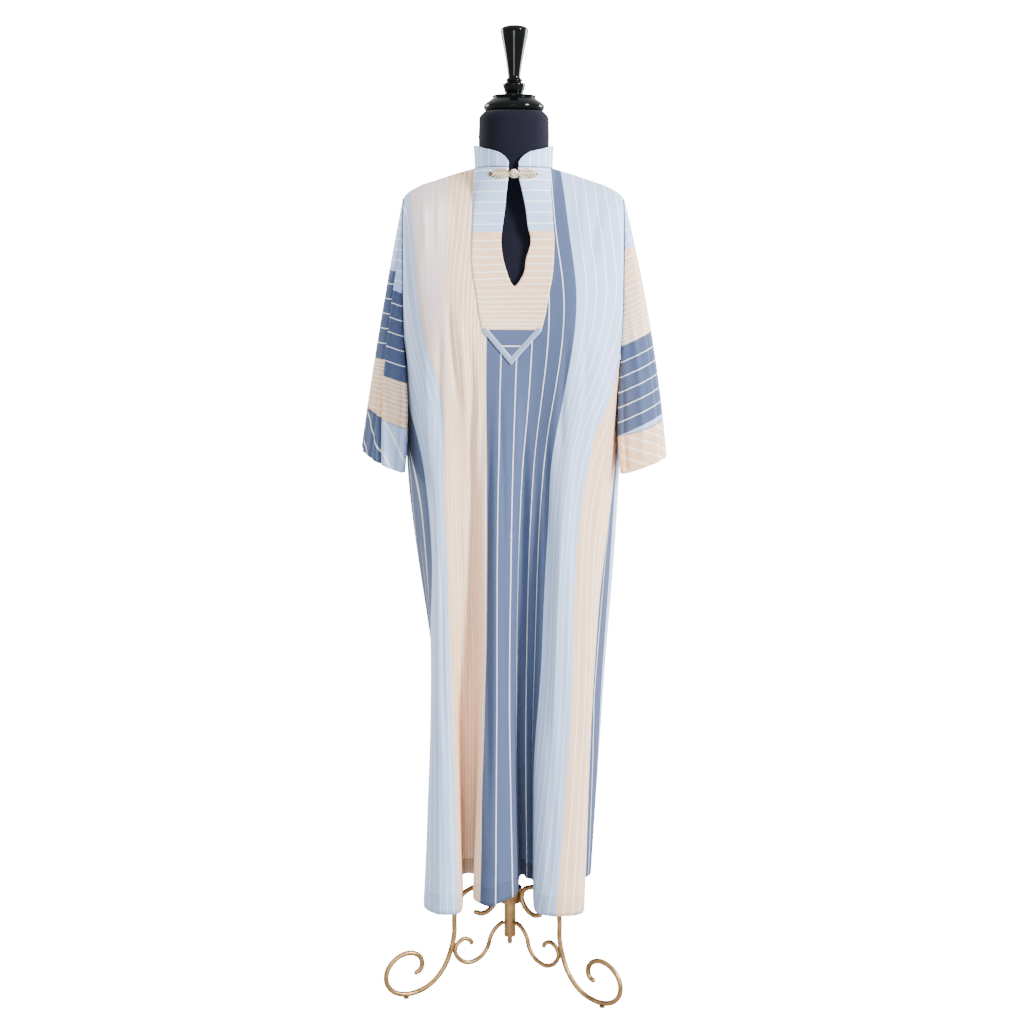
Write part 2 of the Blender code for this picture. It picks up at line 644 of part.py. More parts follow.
def turned(name, profile, material):
    """A turned piece from a profile of radius and height that runs from its top to its foot."""
    mesh = bmesh.new()
    points = [mesh.verts.new((radius, 0.0, height)) for radius, height in profile]
    for a, b in zip(points, points[1:]):
        mesh.edges.new((a, b))
    data = bpy.data.meshes.new(name)
    mesh.to_mesh(data)
    mesh.free()
    piece = add_object(name, data, material)
    screw = piece.modifiers.new("Turn", "SCREW")
    screw.steps = TURN_STEPS
    screw.render_steps = TURN_STEPS
    screw.use_merge_vertices = True
    screw.merge_threshold = 0.0001
    return piece


def rod(name, route, count, radius, heading):
    """A bent rod in the upright plane that faces the heading, in degrees from the front."""
    path = evenly(spline_points(route, ROUTE_STEPS), count)
    curve = bpy.data.curves.new(name, "CURVE")
    curve.dimensions = "3D"
    curve.bevel_depth = radius
    curve.bevel_resolution = 2
    curve.use_fill_caps = True
    spline = curve.splines.new("POLY")
    spline.points.add(count - 1)
    turn = math.radians(heading)
    for point, (reach, height) in zip(spline.points, path):
        point.co = (reach * math.sin(turn), -reach * math.cos(turn), height, 1.0)
    return add_object(name, curve, "gold")


def make_stand():
    pole = ((0.0, POLE_TOP), (POLE_RADIUS, POLE_TOP), (POLE_RADIUS, POLE_FOOT), (0.0, POLE_FOOT))
    turned("pole", pole, "gold")
    inner = POLE_RADIUS + FIT_GAP
    hub = ((inner, HUB_TOP), (HUB_RADIUS, HUB_TOP), (HUB_RADIUS, HUB_FOOT), (inner, HUB_FOOT), (inner, HUB_TOP))
    turned("hub", hub, "gold")
    for side, heading in LEG_HEADINGS.items():
        rod(f"leg_{side}", LEG_ROUTE, LEG_POINTS, LEG_RADIUS, heading)
        rod(f"brace_{side}", BRACE_ROUTE, BRACE_POINTS, BRACE_RADIUS, heading)
        turn = math.radians(heading)
        bpy.ops.mesh.primitive_cylinder_add(vertices=GLIDE_SIDES, radius=GLIDE_RADIUS, depth=GLIDE_HEIGHT)
        glide = bpy.context.object
        for group in list(glide.users_collection):
            group.objects.unlink(glide)
        part_group.objects.link(glide)
        glide.name = f"glide_{side}"
        glide.parent = root
        glide.location = (GLIDE_REACH * math.sin(turn), -GLIDE_REACH * math.cos(turn), GLIDE_HEIGHT / 2)
        glide.data.materials.append(materials["gold"])


def centre_on_floor():
    """Moves the root so that the origin lies under the middle of everything, at the lowest point."""
    bpy.context.view_layer.update()
    graph = bpy.context.evaluated_depsgraph_get()
    corners = []
    for thing in part_group.objects:
        if thing.type == "EMPTY":
            continue
        mesh = thing.evaluated_get(graph).to_mesh()
        corners += [thing.matrix_world @ v.co for v in mesh.vertices]
        thing.evaluated_get(graph).to_mesh_clear()
    low = [min(c[k] for c in corners) for k in range(3)]
    high = [max(c[k] for c in corners) for k in range(3)]
    root.location = (-0.5 * (low[0] + high[0]), -0.5 * (low[1] + high[1]), -low[2])
    bpy.context.view_layer.update()
    print("moved by", [round(v, 5) for v in root.location])
    print("size", [round(b - a, 4) for a, b in zip(low, high)])


clear_scene()
part_group = new_collection("kaftan_on_dress_form")
cutter_group = new_collection("cutters")
materials = make_materials()
root = bpy.data.objects.new("root_frame", None)
part_group.objects.link(root)
make_torso()
turned("neck_cap", CAP_PROFILE, "lacquer")
turned("finial", FINIAL_PROFILE, "lacquer")
make_stand()
make_panels()
make_bib()
make_bindings()
make_collar()
make_sleeves()
make_frog()
centre_on_floor()
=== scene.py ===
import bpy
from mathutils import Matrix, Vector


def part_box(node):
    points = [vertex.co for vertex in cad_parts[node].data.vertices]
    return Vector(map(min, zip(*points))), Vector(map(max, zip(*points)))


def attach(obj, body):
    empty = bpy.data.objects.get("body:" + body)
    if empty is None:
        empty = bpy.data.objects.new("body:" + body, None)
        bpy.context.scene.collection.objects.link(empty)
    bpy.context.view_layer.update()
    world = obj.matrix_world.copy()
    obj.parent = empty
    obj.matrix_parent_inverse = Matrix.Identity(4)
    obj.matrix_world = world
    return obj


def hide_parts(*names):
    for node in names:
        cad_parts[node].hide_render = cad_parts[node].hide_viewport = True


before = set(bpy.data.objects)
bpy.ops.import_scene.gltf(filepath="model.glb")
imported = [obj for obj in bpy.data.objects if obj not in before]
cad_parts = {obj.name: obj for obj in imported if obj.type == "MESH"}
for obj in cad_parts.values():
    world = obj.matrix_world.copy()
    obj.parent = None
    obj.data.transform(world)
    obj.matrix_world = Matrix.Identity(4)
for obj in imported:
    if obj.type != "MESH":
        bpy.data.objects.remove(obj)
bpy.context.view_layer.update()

# %% [markdown]
# # A striped kaftan on a dress form
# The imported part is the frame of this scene: it gives the size and the place of every piece. Each cell
# below makes one piece of the real thing again with finer form, or gives it a finish, and says why it is
# made that way. The cloth comes from one idea: a panel is a grid of points, and each point also knows
# where it lay on the flat cloth, so the woven stripes follow every fold.

# %% Common tools
import math

import bmesh
import bpy
import numpy as np
from mathutils import Matrix, Vector

pole_low, pole_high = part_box("pole")
AXIS = np.array(((pole_low.x + pole_high.x) / 2, (pole_low.y + pole_high.y) / 2, 0.0))
scene = bpy.context.scene
print("the form's axis stands at", AXIS.round(4))

# %% [markdown]
# ## The camera
# The photograph looks at the dress from the front, from about chest height, tipped a little down. A long
# lens was used, so near and far folds keep nearly the same scale. The camera is turned by measured
# angles and rolled by a quarter of a degree, because the form leans that much in the picture.

# %% Camera
CAMERA_DISTANCE = 3.2
CAMERA_HEIGHT = 1.267
CAMERA_TIP = math.radians(7.44)
CAMERA_ROLL = math.radians(0.285)
LENS = 65.39

camera_data = bpy.data.cameras.new("camera")
camera_data.lens = LENS
camera_data.sensor_width = 36.0
camera = bpy.data.objects.new("camera", camera_data)
scene.collection.objects.link(camera)
tip = Matrix.Rotation(math.pi / 2 - CAMERA_TIP, 4, "X")
roll = Matrix.Rotation(CAMERA_ROLL, 4, "Z")
camera.matrix_world = Matrix.Translation((AXIS[0], AXIS[1] - CAMERA_DISTANCE, CAMERA_HEIGHT)) @ tip @ roll
scene.camera = camera
print("camera at", [round(x, 3) for x in camera.location])

# %% [markdown]
# ## Shader arithmetic
# A stripe is a formula: where a point lies on the cloth decides its colour. Node trees make such formulas
# long, so this small class wraps a socket and lets Python's own signs build the Math nodes.

# %% A socket that can be reckoned with
class Wire:
    """A shader socket. Signs such as + and * add Math nodes, and node() adds any other."""

    def __init__(self, tree, socket=None):
        self.tree = tree
        self.socket = socket

    def node(self, kind, settings=None, inputs=None, output=0):
        made = self.tree.nodes.new(kind)
        for key, value in (settings or {}).items():
            setattr(made, key, value)
        for key, value in (inputs or {}).items():
            if isinstance(value, Wire):
                self.tree.links.new(value.socket, made.inputs[key])
            else:
                made.inputs[key].default_value = value
        return Wire(self.tree, made.outputs[output])

    def maths(self, operation, *values):
        return self.node("ShaderNodeMath", {"operation": operation}, dict(enumerate(values)))

    def __add__(self, other):
        return self.maths("ADD", self, other)

    def __sub__(self, other):
        return self.maths("SUBTRACT", self, other)

    def __rsub__(self, other):
        return self.maths("SUBTRACT", other, self)

    def __mul__(self, other):
        return self.maths("MULTIPLY", self, other)

    def __truediv__(self, other):
        return self.maths("DIVIDE", self, other)

    __radd__ = __add__
    __rmul__ = __mul__

    def clamp(self):
        return self.maths("MINIMUM", self.maths("MAXIMUM", self, 0.0), 1.0)

    def past(self, edge, width):
        """0 below the edge and 1 above it, with a soft step that wide."""
        return ((self - edge) / width + 0.5).clamp()

    def between(self, low, high, low_width, high_width):
        """1 between two edges and 0 outside them, with a soft step at each."""
        return self.past(low, low_width) * (1.0 - self.past(high, high_width))

    def near_whole(self):
        """The distance from the nearest whole number."""
        return self.maths("ABSOLUTE", self.maths("FRACT", self + 0.5) - 0.5)

    def mix(self, low, high):
        """A colour between two, by this value."""
        settings = {"data_type": "RGBA", "clamp_factor": True}
        return self.node("ShaderNodeMix", settings, {0: self, 6: low, 7: high}, output=2)


print("shader sockets can be added and multiplied")

# %% Materials and colours
def colour(red, green, blue):
    """A colour given as it looks on a screen, 0 to 255, as the light values that shaders use."""
    def linear(x):
        x /= 255.0
        return x / 12.92 if x <= 0.04045 else ((x + 0.055) / 1.055) ** 2.4

    return (linear(red), linear(green), linear(blue), 1.0)


def new_material(name, **values):
    """A material, a Wire for its node tree, and its Principled shader with uniform values set."""
    made = bpy.data.materials.new(name)
    made.use_nodes = True
    shader = made.node_tree.nodes["Principled BSDF"]
    for key, value in values.items():
        shader.inputs[key.replace("_", " ").title()].default_value = value
    return made, Wire(made.node_tree), shader


def connect(shader, name, wire):
    wire.tree.links.new(wire.socket, shader.inputs[name])


def bump(wire, height, strength, distance):
    inputs = {"Height": height, "Strength": strength, "Distance": distance}
    return wire.node("ShaderNodeBump", None, inputs)


print("middle grey as light values", [round(x, 3) for x in colour(128, 128, 128)])

# %% [markdown]
# ## The striped cloth
# It is a light plain weave in three broad bands that repeat every 43 cm: slate, light blue and beige.
# White threads cross each band: about every 25 mm in the slate, every 18 mm in the light blue, and in the
# beige ever closer together towards the next slate band. An image could hold this, but a formula stays
# sharp at any distance. The UV map holds metres on the flat cloth, so the widths below are real ones.
# The panels also have a turned hem with a stitched line. The hem band is darker, and darker still with
# painted shade where it lies deep in a valley. A paler lilac patch lies on the left of the chest, and there
# are two small stains.

# %% Striped cloth
REPEAT = 0.43
SLATE_END = 0.15
LIGHT_END = 0.27
BAND_EDGE = 0.0008
# The first white thread, the step to the next, and where a band's threads start and end
SLATE_THREADS = (0.027, 0.0252, 0.015, SLATE_END - 0.012)
LIGHT_THREADS = (0.168, 0.0178, 0.160, LIGHT_END - 0.008)
BEIGE_FROM = 0.279
BEIGE_FIRST = 0.284
BEIGE_REACH = 0.235
BEIGE_COUNT = 16.1
BEIGE_LEAST = 0.05
THREAD_HALF = 0.0008
THREAD_EDGE = 0.0008
SUNK_THREAD = 0.9

SLATE = colour(72, 85, 116)
LIGHT_BLUE = colour(171, 195, 234)
BEIGE = colour(234, 195, 160)
THREAD_WHITE = colour(248, 249, 251)
PALE_LILAC = colour(226, 221, 233)
STAIN = colour(196, 158, 148)

SLUBS_FINE, SLUBS_LONG = 1400.0, 30.0
WEAVE_WAVES = 2200.0
HEM_DEPTH = 0.033
HEM_EDGE = 0.0012
# How much the hem band is darkened, the extra painted shade in the two valleys, and the stitch line's
# darkening
HEM_SHADE, PAINTED_VALLEY_SHADE, STITCH_SHADE = 0.11, 0.30, 0.14
STITCH_HALF, STITCH_EDGE = 0.0009, 0.0006
# Stretches across the cloth: from, to, and how soft each end is. The first two are where the hem band gets
# painted shade, deep in the two valleys
VALLEY_1_SHADE_SPAN = (-0.125, -0.050, 0.03, 0.03)
VALLEY_2_SHADE_SPAN = (0.078, 0.160, 0.02, 0.03)
LILAC_PATCH_SPAN = (-0.165, -0.088, 0.03, 0.03)
LILAC_FROM, LILAC_EDGE, LILAC_SHARE = 0.93, 0.22, 0.6
# Place across and along the cloth, size
PANEL_STAINS = ((0.0515, 0.655, 0.004), (-0.055, 0.950, 0.003))
STAIN_SHARE = 0.5


def cloth_material(name):
    """A dull, slightly fluffy material, its Wire, its shader and the place on the flat cloth."""
    made, wire, shader = new_material(name, roughness=0.9, sheen_weight=0.05, sheen_roughness=0.5)
    shader.inputs["Specular IOR Level"].default_value = 0.15
    return made, wire, shader, wire.node("ShaderNodeUVMap", {"uv_map": "cloth"})


def white_threads(at):
    """1 on the white threads of all three bands, by the place within the repeat."""
    def line(distance, low, high):
        return (1.0 - distance.past(THREAD_HALF, THREAD_EDGE)) * at.between(low, high, BAND_EDGE, BAND_EDGE)

    def even_lines(first, step, low, high):
        return line(((at - first) / step).near_whole() * step, low, high)

    left = 1.0 - (at - BEIGE_FIRST) / BEIGE_REACH
    count = at.maths("LOGARITHM", left.maths("MAXIMUM", left, BEIGE_LEAST), math.e) * -BEIGE_COUNT
    beige_lines = line(count.near_whole() * left * (BEIGE_REACH / BEIGE_COUNT), BEIGE_FROM, REPEAT)
    sunk = (even_lines(*SLATE_THREADS) + beige_lines) * SUNK_THREAD
    return (sunk + even_lines(*LIGHT_THREADS)).clamp()


def slubs(wire, across, along):
    """Uneven threads both ways: noise drawn out long along each."""
    noises = []
    for x_scale, y_scale in ((SLUBS_FINE, SLUBS_LONG), (SLUBS_LONG, SLUBS_FINE)):
        place = wire.node("ShaderNodeCombineXYZ", None, {0: across * x_scale, 1: along * y_scale})
        noises.append(wire.node("ShaderNodeTexNoise", None, {"Vector": place, "Scale": 1.0, "Detail": 2.0}))
    return noises[0] + noises[1]


def stained(wire, uv, cloth, stains):
    """The cloth's colour with small ragged spots."""
    for spot_across, spot_along, size in stains:
        place = {0: uv, 1: (spot_across, spot_along, 0.0)}
        gap = wire.node("ShaderNodeVectorMath", {"operation": "DISTANCE"}, place, output=1)
        ragged = wire.node("ShaderNodeTexNoise", None, {"Vector": uv, "Scale": 400.0, "Detail": 3.0})
        spot = 1.0 - (gap + (ragged - 0.5) * size).past(size * 0.6, size)
        cloth = (spot * STAIN_SHARE).mix(cloth, STAIN)
    return cloth


def striped(name, hem=False, stains=()):
    """The striped cloth, with or without the panels' hem and paler lilac patch."""
    made, wire, shader, uv = cloth_material(name)
    across = wire.node("ShaderNodeSeparateXYZ", None, {0: uv})
    along = Wire(wire.tree, across.socket.node.outputs[1])
    at = across.maths("FLOORED_MODULO", across, REPEAT)
    in_light = at.past(SLATE_END, BAND_EDGE)
    in_beige = at.past(LIGHT_END, BAND_EDGE)
    ground = in_beige.mix(in_light.mix(SLATE, LIGHT_BLUE), BEIGE)
    cloth = white_threads(at).mix(ground, THREAD_WHITE)

    threads = slubs(wire, across, along)
    weave_across = across.maths("SINE", across * WEAVE_WAVES)
    weave_along = along.maths("SINE", along * WEAVE_WAVES)
    height = weave_across * weave_along * 0.5 + threads
    shade = 0.90 + threads * 0.10
    if hem:
        in_hem = 1.0 - along.past(HEM_DEPTH, HEM_EDGE)
        # Painted shade: the hem band is darkened, and much more where it lies deep in the two valleys
        valley_shade_mask = across.between(*VALLEY_1_SHADE_SPAN) + across.between(*VALLEY_2_SHADE_SPAN)
        stitch = 1.0 - along.maths("ABSOLUTE", along - HEM_DEPTH).past(STITCH_HALF, STITCH_EDGE)
        shade = shade * (1.0 - in_hem * (HEM_SHADE + valley_shade_mask * PAINTED_VALLEY_SHADE)) * (1.0 - stitch * STITCH_SHADE)
        # A paler lilac patch on the left of the chest
        lilac_patch = across.between(*LILAC_PATCH_SPAN) * along.past(LILAC_FROM, LILAC_EDGE)
        cloth = (lilac_patch * LILAC_SHARE).mix(cloth, PALE_LILAC)
        height = height + in_hem * 3.0 - stitch * 4.0
    grey = wire.node("ShaderNodeCombineXYZ", None, {0: shade, 1: shade, 2: shade})
    shaded = wire.node("ShaderNodeVectorMath", {"operation": "MULTIPLY"}, {0: cloth, 1: grey})
    connect(shader, "Base Color", stained(wire, uv, shaded, stains))
    connect(shader, "Normal", bump(wire, height, 0.35, 0.0003))
    return made


panel_cloth = striped("panel_cloth", hem=True, stains=PANEL_STAINS)
plain_striped = striped("striped_cloth_trim")
print("stripe repeat", REPEAT, "m")

# %% [markdown]
# ## How the folds are drawn
# The dress hangs from the shoulders in long folds that deepen towards the hem. Each fold is a line that
# runs down the panel. Tables give its place at a few heights, a smooth curve joins the heights, and a
# Catmull-Rom spline joins the folds round the body. These are the same tables as the solid part's, on a
# finer grid, so the looks stay inside the solids. A third table tells where each fold line lies on the cloth.

# %% Smooth curves
def smooth_value(places, values, at):
    """A smooth curve through values at rising places, read at one place and held past its ends."""
    places = np.asarray(places, float)
    values = np.asarray(values, float)
    at = min(max(at, places[0]), places[-1])
    slopes = np.gradient(values, places)
    i = int(np.clip(np.searchsorted(places, at) - 1, 0, len(places) - 2))
    span = places[i + 1] - places[i]
    t = (at - places[i]) / span
    start = (2 * t**3 - 3 * t**2 + 1) * values[i] + (t**3 - 2 * t**2 + t) * span * slopes[i]
    end = (3 * t**2 - 2 * t**3) * values[i + 1] + (t**3 - t**2) * span * slopes[i + 1]
    return start + end


def spline(points, per_span, closed=False, plan=3):
    """A centripetal Catmull-Rom curve. Only the first `plan` columns set its pace, the others ride along."""
    points = np.asarray(points, float)
    if closed:
        ring = np.vstack([points[-1:], points, points[:2]])
    else:
        ring = np.vstack([2 * points[:1] - points[1:2], points, 2 * points[-1:] - points[-2:-1]])
    steps = np.linalg.norm(np.diff(ring[:, :plan], axis=0), axis=1)
    steps = np.maximum(steps, 1e-9) ** 0.5
    out = []
    for k in range(len(ring) - 3):
        a, b, c, d = ring[k:k + 4]
        t0, t1 = 0.0, steps[k]
        t2 = t1 + steps[k + 1]
        t3 = t2 + steps[k + 2]
        t = (t1 + (t2 - t1) * np.arange(per_span) / per_span)[:, None]
        ab = ((t1 - t) * a + (t - t0) * b) / (t1 - t0)
        bc = ((t2 - t) * b + (t - t1) * c) / (t2 - t1)
        cd = ((t3 - t) * c + (t - t2) * d) / (t3 - t2)
        abc = ((t2 - t) * ab + (t - t0) * bc) / (t2 - t0)
        bcd = ((t3 - t) * bc + (t - t1) * cd) / (t3 - t1)
        out.append(((t2 - t) * abc + (t - t1) * bcd) / (t2 - t1))
    if not closed:
        out.append(points[-1:])
    return np.vstack(out)


def evenly(points, count):
    """The same path, walked in equal steps."""
    points = np.asarray(points, float)
    walked = np.concatenate([[0.0], np.cumsum(np.linalg.norm(np.diff(points, axis=0), axis=1))])
    stops = np.linspace(0.0, walked[-1], count)
    return np.column_stack([np.interp(stops, walked, points[:, k]) for k in range(points.shape[1])])


print("a spline through 3 points in 8 steps has", len(spline([(0, 0), (1, 1), (2, 0)], 4, plan=2)), "points")

# %% Fold tables
NECK_Z, CHEST_Z, BUST_Z, WAIST_Z, KNEE_Z, HEM_Z = 1.436, 1.33, 1.24, 0.93, 0.50, 0.168
UNDERARM_Z = 1.12
HEIGHTS = (HEM_Z, KNEE_Z, WAIST_Z, BUST_Z, CHEST_Z, NECK_Z)
SEAM_GAP = 0.0005

# The back's places, stretched and shifted so that its bands meet the front's at the side seams
BACK_STRETCH, BACK_SHIFT = 1.165, 0.058
# How far the sleeve's weight pulls the cloth round on some folds, strongest at one height
PLACE_PULL = {"edge_left": -0.005, "crest_a": -0.025, "crest_a_right": -0.030, "valley_1_left": -0.012}
PULL_Z = 1.04
PULL_REACH = 0.085

# X at the hem, knee, waist, bust and neck; Y at the hem, knee, waist, bust and chest; place on the cloth
# at the hem, knee, waist, bust and neck
FRONT_FOLDS = {
    "edge_left": ((-0.150, -0.136, -0.148, -0.180, -0.176), (-0.080, -0.085, -0.085, -0.078, -0.070),
                  (-0.270, -0.262, -0.272, -0.196, -0.162)),
    "crest_a": ((-0.122, -0.121, -0.134, -0.158, -0.150), (-0.124, -0.118, -0.110, -0.102, -0.086),
                (-0.215, -0.205, -0.200, -0.160, -0.133)),
    "crest_a_right": ((-0.087, -0.098, -0.110, -0.122, -0.115), (-0.116, -0.116, -0.115, -0.117, -0.091),
                      (-0.157, -0.157, -0.145, -0.104, -0.097)),
    "valley_1_left": ((-0.082, -0.080, -0.086, -0.102, -0.095), (0.004, -0.062, -0.104, -0.121, -0.092),
                      (-0.100, -0.100, -0.092, -0.067, -0.076)),
    "valley_1_right": ((-0.066, -0.062, -0.064, -0.078, -0.070), (0.004, -0.062, -0.104, -0.121, -0.092),
                       (-0.065, -0.065, -0.043, -0.042, -0.051)),
    "crest_b_left": ((-0.060, -0.051, -0.050, -0.052, -0.048), (-0.112, -0.108, -0.111, -0.118, -0.092),
                     (-0.012, -0.012, -0.012, -0.014, -0.030)),
    "crest_b": ((-0.030, -0.028, -0.027, -0.022, -0.020), (-0.134, -0.126, -0.119, -0.116, -0.093),
                (0.022, 0.022, 0.022, 0.0175, 0.000)),
    "crest_b_right": ((0.007, 0.000, -0.001, 0.012, 0.012), (-0.112, -0.112, -0.113, -0.116, -0.093),
                      (0.055, 0.055, 0.050, 0.0534, 0.045)),
    "valley_2_left": ((0.021, 0.015, 0.020, 0.045, 0.040), (0.004, -0.062, -0.098, -0.118, -0.092),
                      (0.090, 0.090, 0.079, 0.088, 0.085)),
    "valley_2_right": ((0.037, 0.033, 0.040, 0.070, 0.065), (0.004, -0.062, -0.098, -0.120, -0.092),
                       (0.115, 0.112, 0.109, 0.1147, 0.134)),
    "crest_c_left": ((0.046, 0.047, 0.064, 0.104, 0.095), (-0.112, -0.108, -0.110, -0.121, -0.092),
                     (0.232, 0.160, 0.150, 0.1506, 0.164)),
    "crest_c": ((0.083, 0.090, 0.102, 0.140, 0.132), (-0.132, -0.128, -0.124, -0.108, -0.088),
                (0.275, 0.255, 0.235, 0.1886, 0.201)),
    "edge_right": ((0.124, 0.131, 0.152, 0.180, 0.176), (-0.098, -0.104, -0.088, -0.078, -0.070),
                   (0.320, 0.310, 0.310, 0.231, 0.245)),
}
BACK_FOLDS = {
    "edge_left": ((-0.122, -0.132, -0.182, -0.178, -0.172), (0.105, 0.100, 0.070, 0.092, 0.086),
                  (0.375, 0.355, 0.320, 0.236, 0.248)),
    "crest_left": ((-0.098, -0.104, -0.130, -0.130, -0.120), (0.165, 0.145, 0.110, 0.116, 0.108),
                   (0.300, 0.285, 0.245, 0.180, 0.190)),
    "dip_left": ((-0.052, -0.060, -0.066, -0.066, -0.060), (0.108, 0.104, 0.096, 0.116, 0.112),
                 (0.175, 0.160, 0.140, 0.110, 0.118)),
    "crest_middle": ((0.010, 0.004, 0.000, 0.000, 0.000), (0.168, 0.146, 0.112, 0.112, 0.112),
                     (0.040, 0.040, 0.042, 0.040, 0.045)),
    "dip_right": ((0.068, 0.066, 0.066, 0.066, 0.060), (0.110, 0.106, 0.096, 0.116, 0.112),
                  (-0.090, -0.080, -0.055, -0.026, -0.022)),
    "crest_right": ((0.116, 0.122, 0.132, 0.130, 0.120), (0.162, 0.142, 0.110, 0.116, 0.108),
                    (-0.220, -0.200, -0.165, -0.092, -0.088)),
    "edge_right": ((0.148, 0.165, 0.186, 0.178, 0.172), (0.105, 0.095, 0.070, 0.092, 0.086),
                   (-0.285, -0.270, -0.235, -0.148, -0.142)),
}
# Height, half width left and right, Y of the front and back edge, place on the cloth at the left and right
SIDE_SEAM = (
    (HEM_Z, 0.118, 0.122, 0.050, 0.050, -0.350, 0.436),
    (KNEE_Z, 0.124, 0.134, 0.035, 0.035, -0.330, 0.410),
    (WAIST_Z, 0.176, 0.178, 0.005, 0.005, -0.308, 0.375),
    (UNDERARM_Z, 0.184, 0.184, 0.008, 0.008, -0.262, 0.290),
    (1.15, 0.185, 0.185, -0.032, 0.042, -0.248, 0.275),
    (1.20, 0.185, 0.185, -0.044, 0.055, -0.228, 0.252),
    (BUST_Z, 0.185, 0.185, -0.048, 0.060, -0.213, 0.243),
    (CHEST_Z, 0.185, 0.185, -0.050, 0.060, -0.186, 0.248),
    (NECK_Z, 0.185, 0.185, -0.050, 0.060, -0.166, 0.255),
)
print(len(FRONT_FOLDS), "fold lines in front and", len(BACK_FOLDS), "behind")

# %% A panel's surface
NECK_RADIUS = 0.066
SHOULDER = ((0.066, 1.436), (0.100, 1.426), (0.135, 1.4145), (0.155, 1.408), (0.175, 1.398), (0.186, 1.388))
SHOULDER_ROUND = 2.2
VALLEY_LIFT_LEFT, VALLEY_LIFT_RIGHT = 0.030, 0.021
LIFT_FROM_Y, LIFT_TO_Y = -0.105, -0.060
LIFT_INNER_X, LIFT_OUTER_X = 0.095, 0.112
# X and the front hem's own rise there
HEM_RISE = (
    (-0.084, 0.0), (-0.074, 0.021), (-0.060, 0.021), (-0.035, 0.017), (-0.012, 0.026),
    (0.007, 0.029), (0.024, 0.029), (0.040, 0.0), (0.095, 0.0), (0.124, -0.006),
)
SEAM_COLUMNS = [np.array(column) for column in zip(*SIDE_SEAM)]


def top_z(x):
    """Height of the panels' upper edge: the neck seam in the middle, the shoulder line beside it."""
    widths, heights = zip(*SHOULDER)
    return np.interp(np.abs(x), widths, heights)


def neck_y(x):
    """Y of the neck seam's front half at X."""
    return -NECK_RADIUS * np.sqrt(np.maximum(0.0, 1.0 - (np.asarray(x) / NECK_RADIUS) ** 2))


def fold_section(folds, height, front):
    """The plan outline of a panel at one height: X, Y and the place on the cloth, from left to right."""
    seam = [np.interp(height, SEAM_COLUMNS[0], column) for column in SEAM_COLUMNS]
    y = seam[3] - SEAM_GAP if front else seam[4] + SEAM_GAP
    left, right = (seam[5], seam[6]) if front else (seam[6], seam[5])
    pull = math.exp(-(((height - PULL_Z) / PULL_REACH) ** 2))
    points = [(-seam[1], y, left)]
    for name, (xs, ys, places) in folds.items():
        x = smooth_value(HEIGHTS, (*xs[:4], 0.5 * (xs[3] + xs[4]), xs[4]), height)
        y_here = smooth_value(HEIGHTS, (*ys, ys[4]), height)
        place = smooth_value(HEIGHTS, (*places[:4], 0.5 * (places[3] + places[4]), places[4]), height)
        place += PLACE_PULL.get(name, 0.0) * pull if front else 0.0
        points.append((x, y_here, place))
    points.append((seam[2], y, right))
    if not front:
        points = [(x, y, BACK_STRETCH * place + BACK_SHIFT) for x, y, place in points]
    return points


def above_chest(x, base_y, rise, front):
    """Y above the chest, where the cloth turns in to the shoulder line and the neck seam."""
    edge_y = neck_y(x) - SEAM_GAP if front else -neck_y(x) + SEAM_GAP
    return edge_y + (base_y - edge_y) * (1.0 - rise**SHOULDER_ROUND)


def hem_lift(x, y, height):
    """How far the front is lifted: its hem is higher in the valleys than on the crests."""
    share = np.clip((y - LIFT_FROM_Y) / (LIFT_TO_Y - LIFT_FROM_Y), 0.0, 1.0)
    share = share * np.clip((LIFT_OUTER_X - np.abs(x)) / (LIFT_OUTER_X - LIFT_INNER_X), 0.0, 1.0)
    valley = np.where(x < 0, VALLEY_LIFT_LEFT, VALLEY_LIFT_RIGHT) * share * share * (3 - 2 * share)
    rise = np.interp(x, *zip(*HEM_RISE))
    down = min(max((KNEE_Z - height) / (KNEE_Z - HEM_Z), 0.0), 1.0)
    return np.where(valley > 0.0, np.maximum(valley, rise), rise) * down


def panel_grid(folds, front, per_fold, shoulder_rows, skirt_rows):
    """The panel's points, row by row from the shoulder down, and their place on the cloth."""
    points, places = [], []
    for k in range(shoulder_rows + 1):
        rise = 1.0 - k / shoulder_rows
        line = spline(fold_section(folds, CHEST_Z + rise * (NECK_Z - CHEST_Z), front), per_fold, plan=2)
        x = line[:, 0]
        z = CHEST_Z + rise * (top_z(x) - CHEST_Z)
        points.append(np.column_stack([x, above_chest(x, line[:, 1], rise, front), z]))
        places.append(np.column_stack([line[:, 2], z - HEM_Z]))
    for k in range(1, skirt_rows + 1):
        height = CHEST_Z + (HEM_Z - CHEST_Z) * k / skirt_rows
        line = spline(fold_section(folds, height, front), per_fold, plan=2)
        lift = hem_lift(line[:, 0], line[:, 1], height) if front else 0.0
        points.append(np.column_stack([line[:, 0], line[:, 1], height + lift + np.zeros(len(line))]))
        places.append(np.column_stack([line[:, 2], np.full(len(line), height - HEM_Z)]))
    return np.array(points), np.array(places)


SHOULDER_ROWS = 24
FRONT_PER_FOLD, FRONT_SKIRT_ROWS = 10, 130
BACK_PER_FOLD, BACK_SKIRT_ROWS = 14, 110
front_grid, front_places = panel_grid(FRONT_FOLDS, True, FRONT_PER_FOLD, SHOULDER_ROWS, FRONT_SKIRT_ROWS)
back_grid, back_places = panel_grid(BACK_FOLDS, False, BACK_PER_FOLD, SHOULDER_ROWS, BACK_SKIRT_ROWS)
print("front grid", front_grid.shape[:2], "back grid", back_grid.shape[:2])
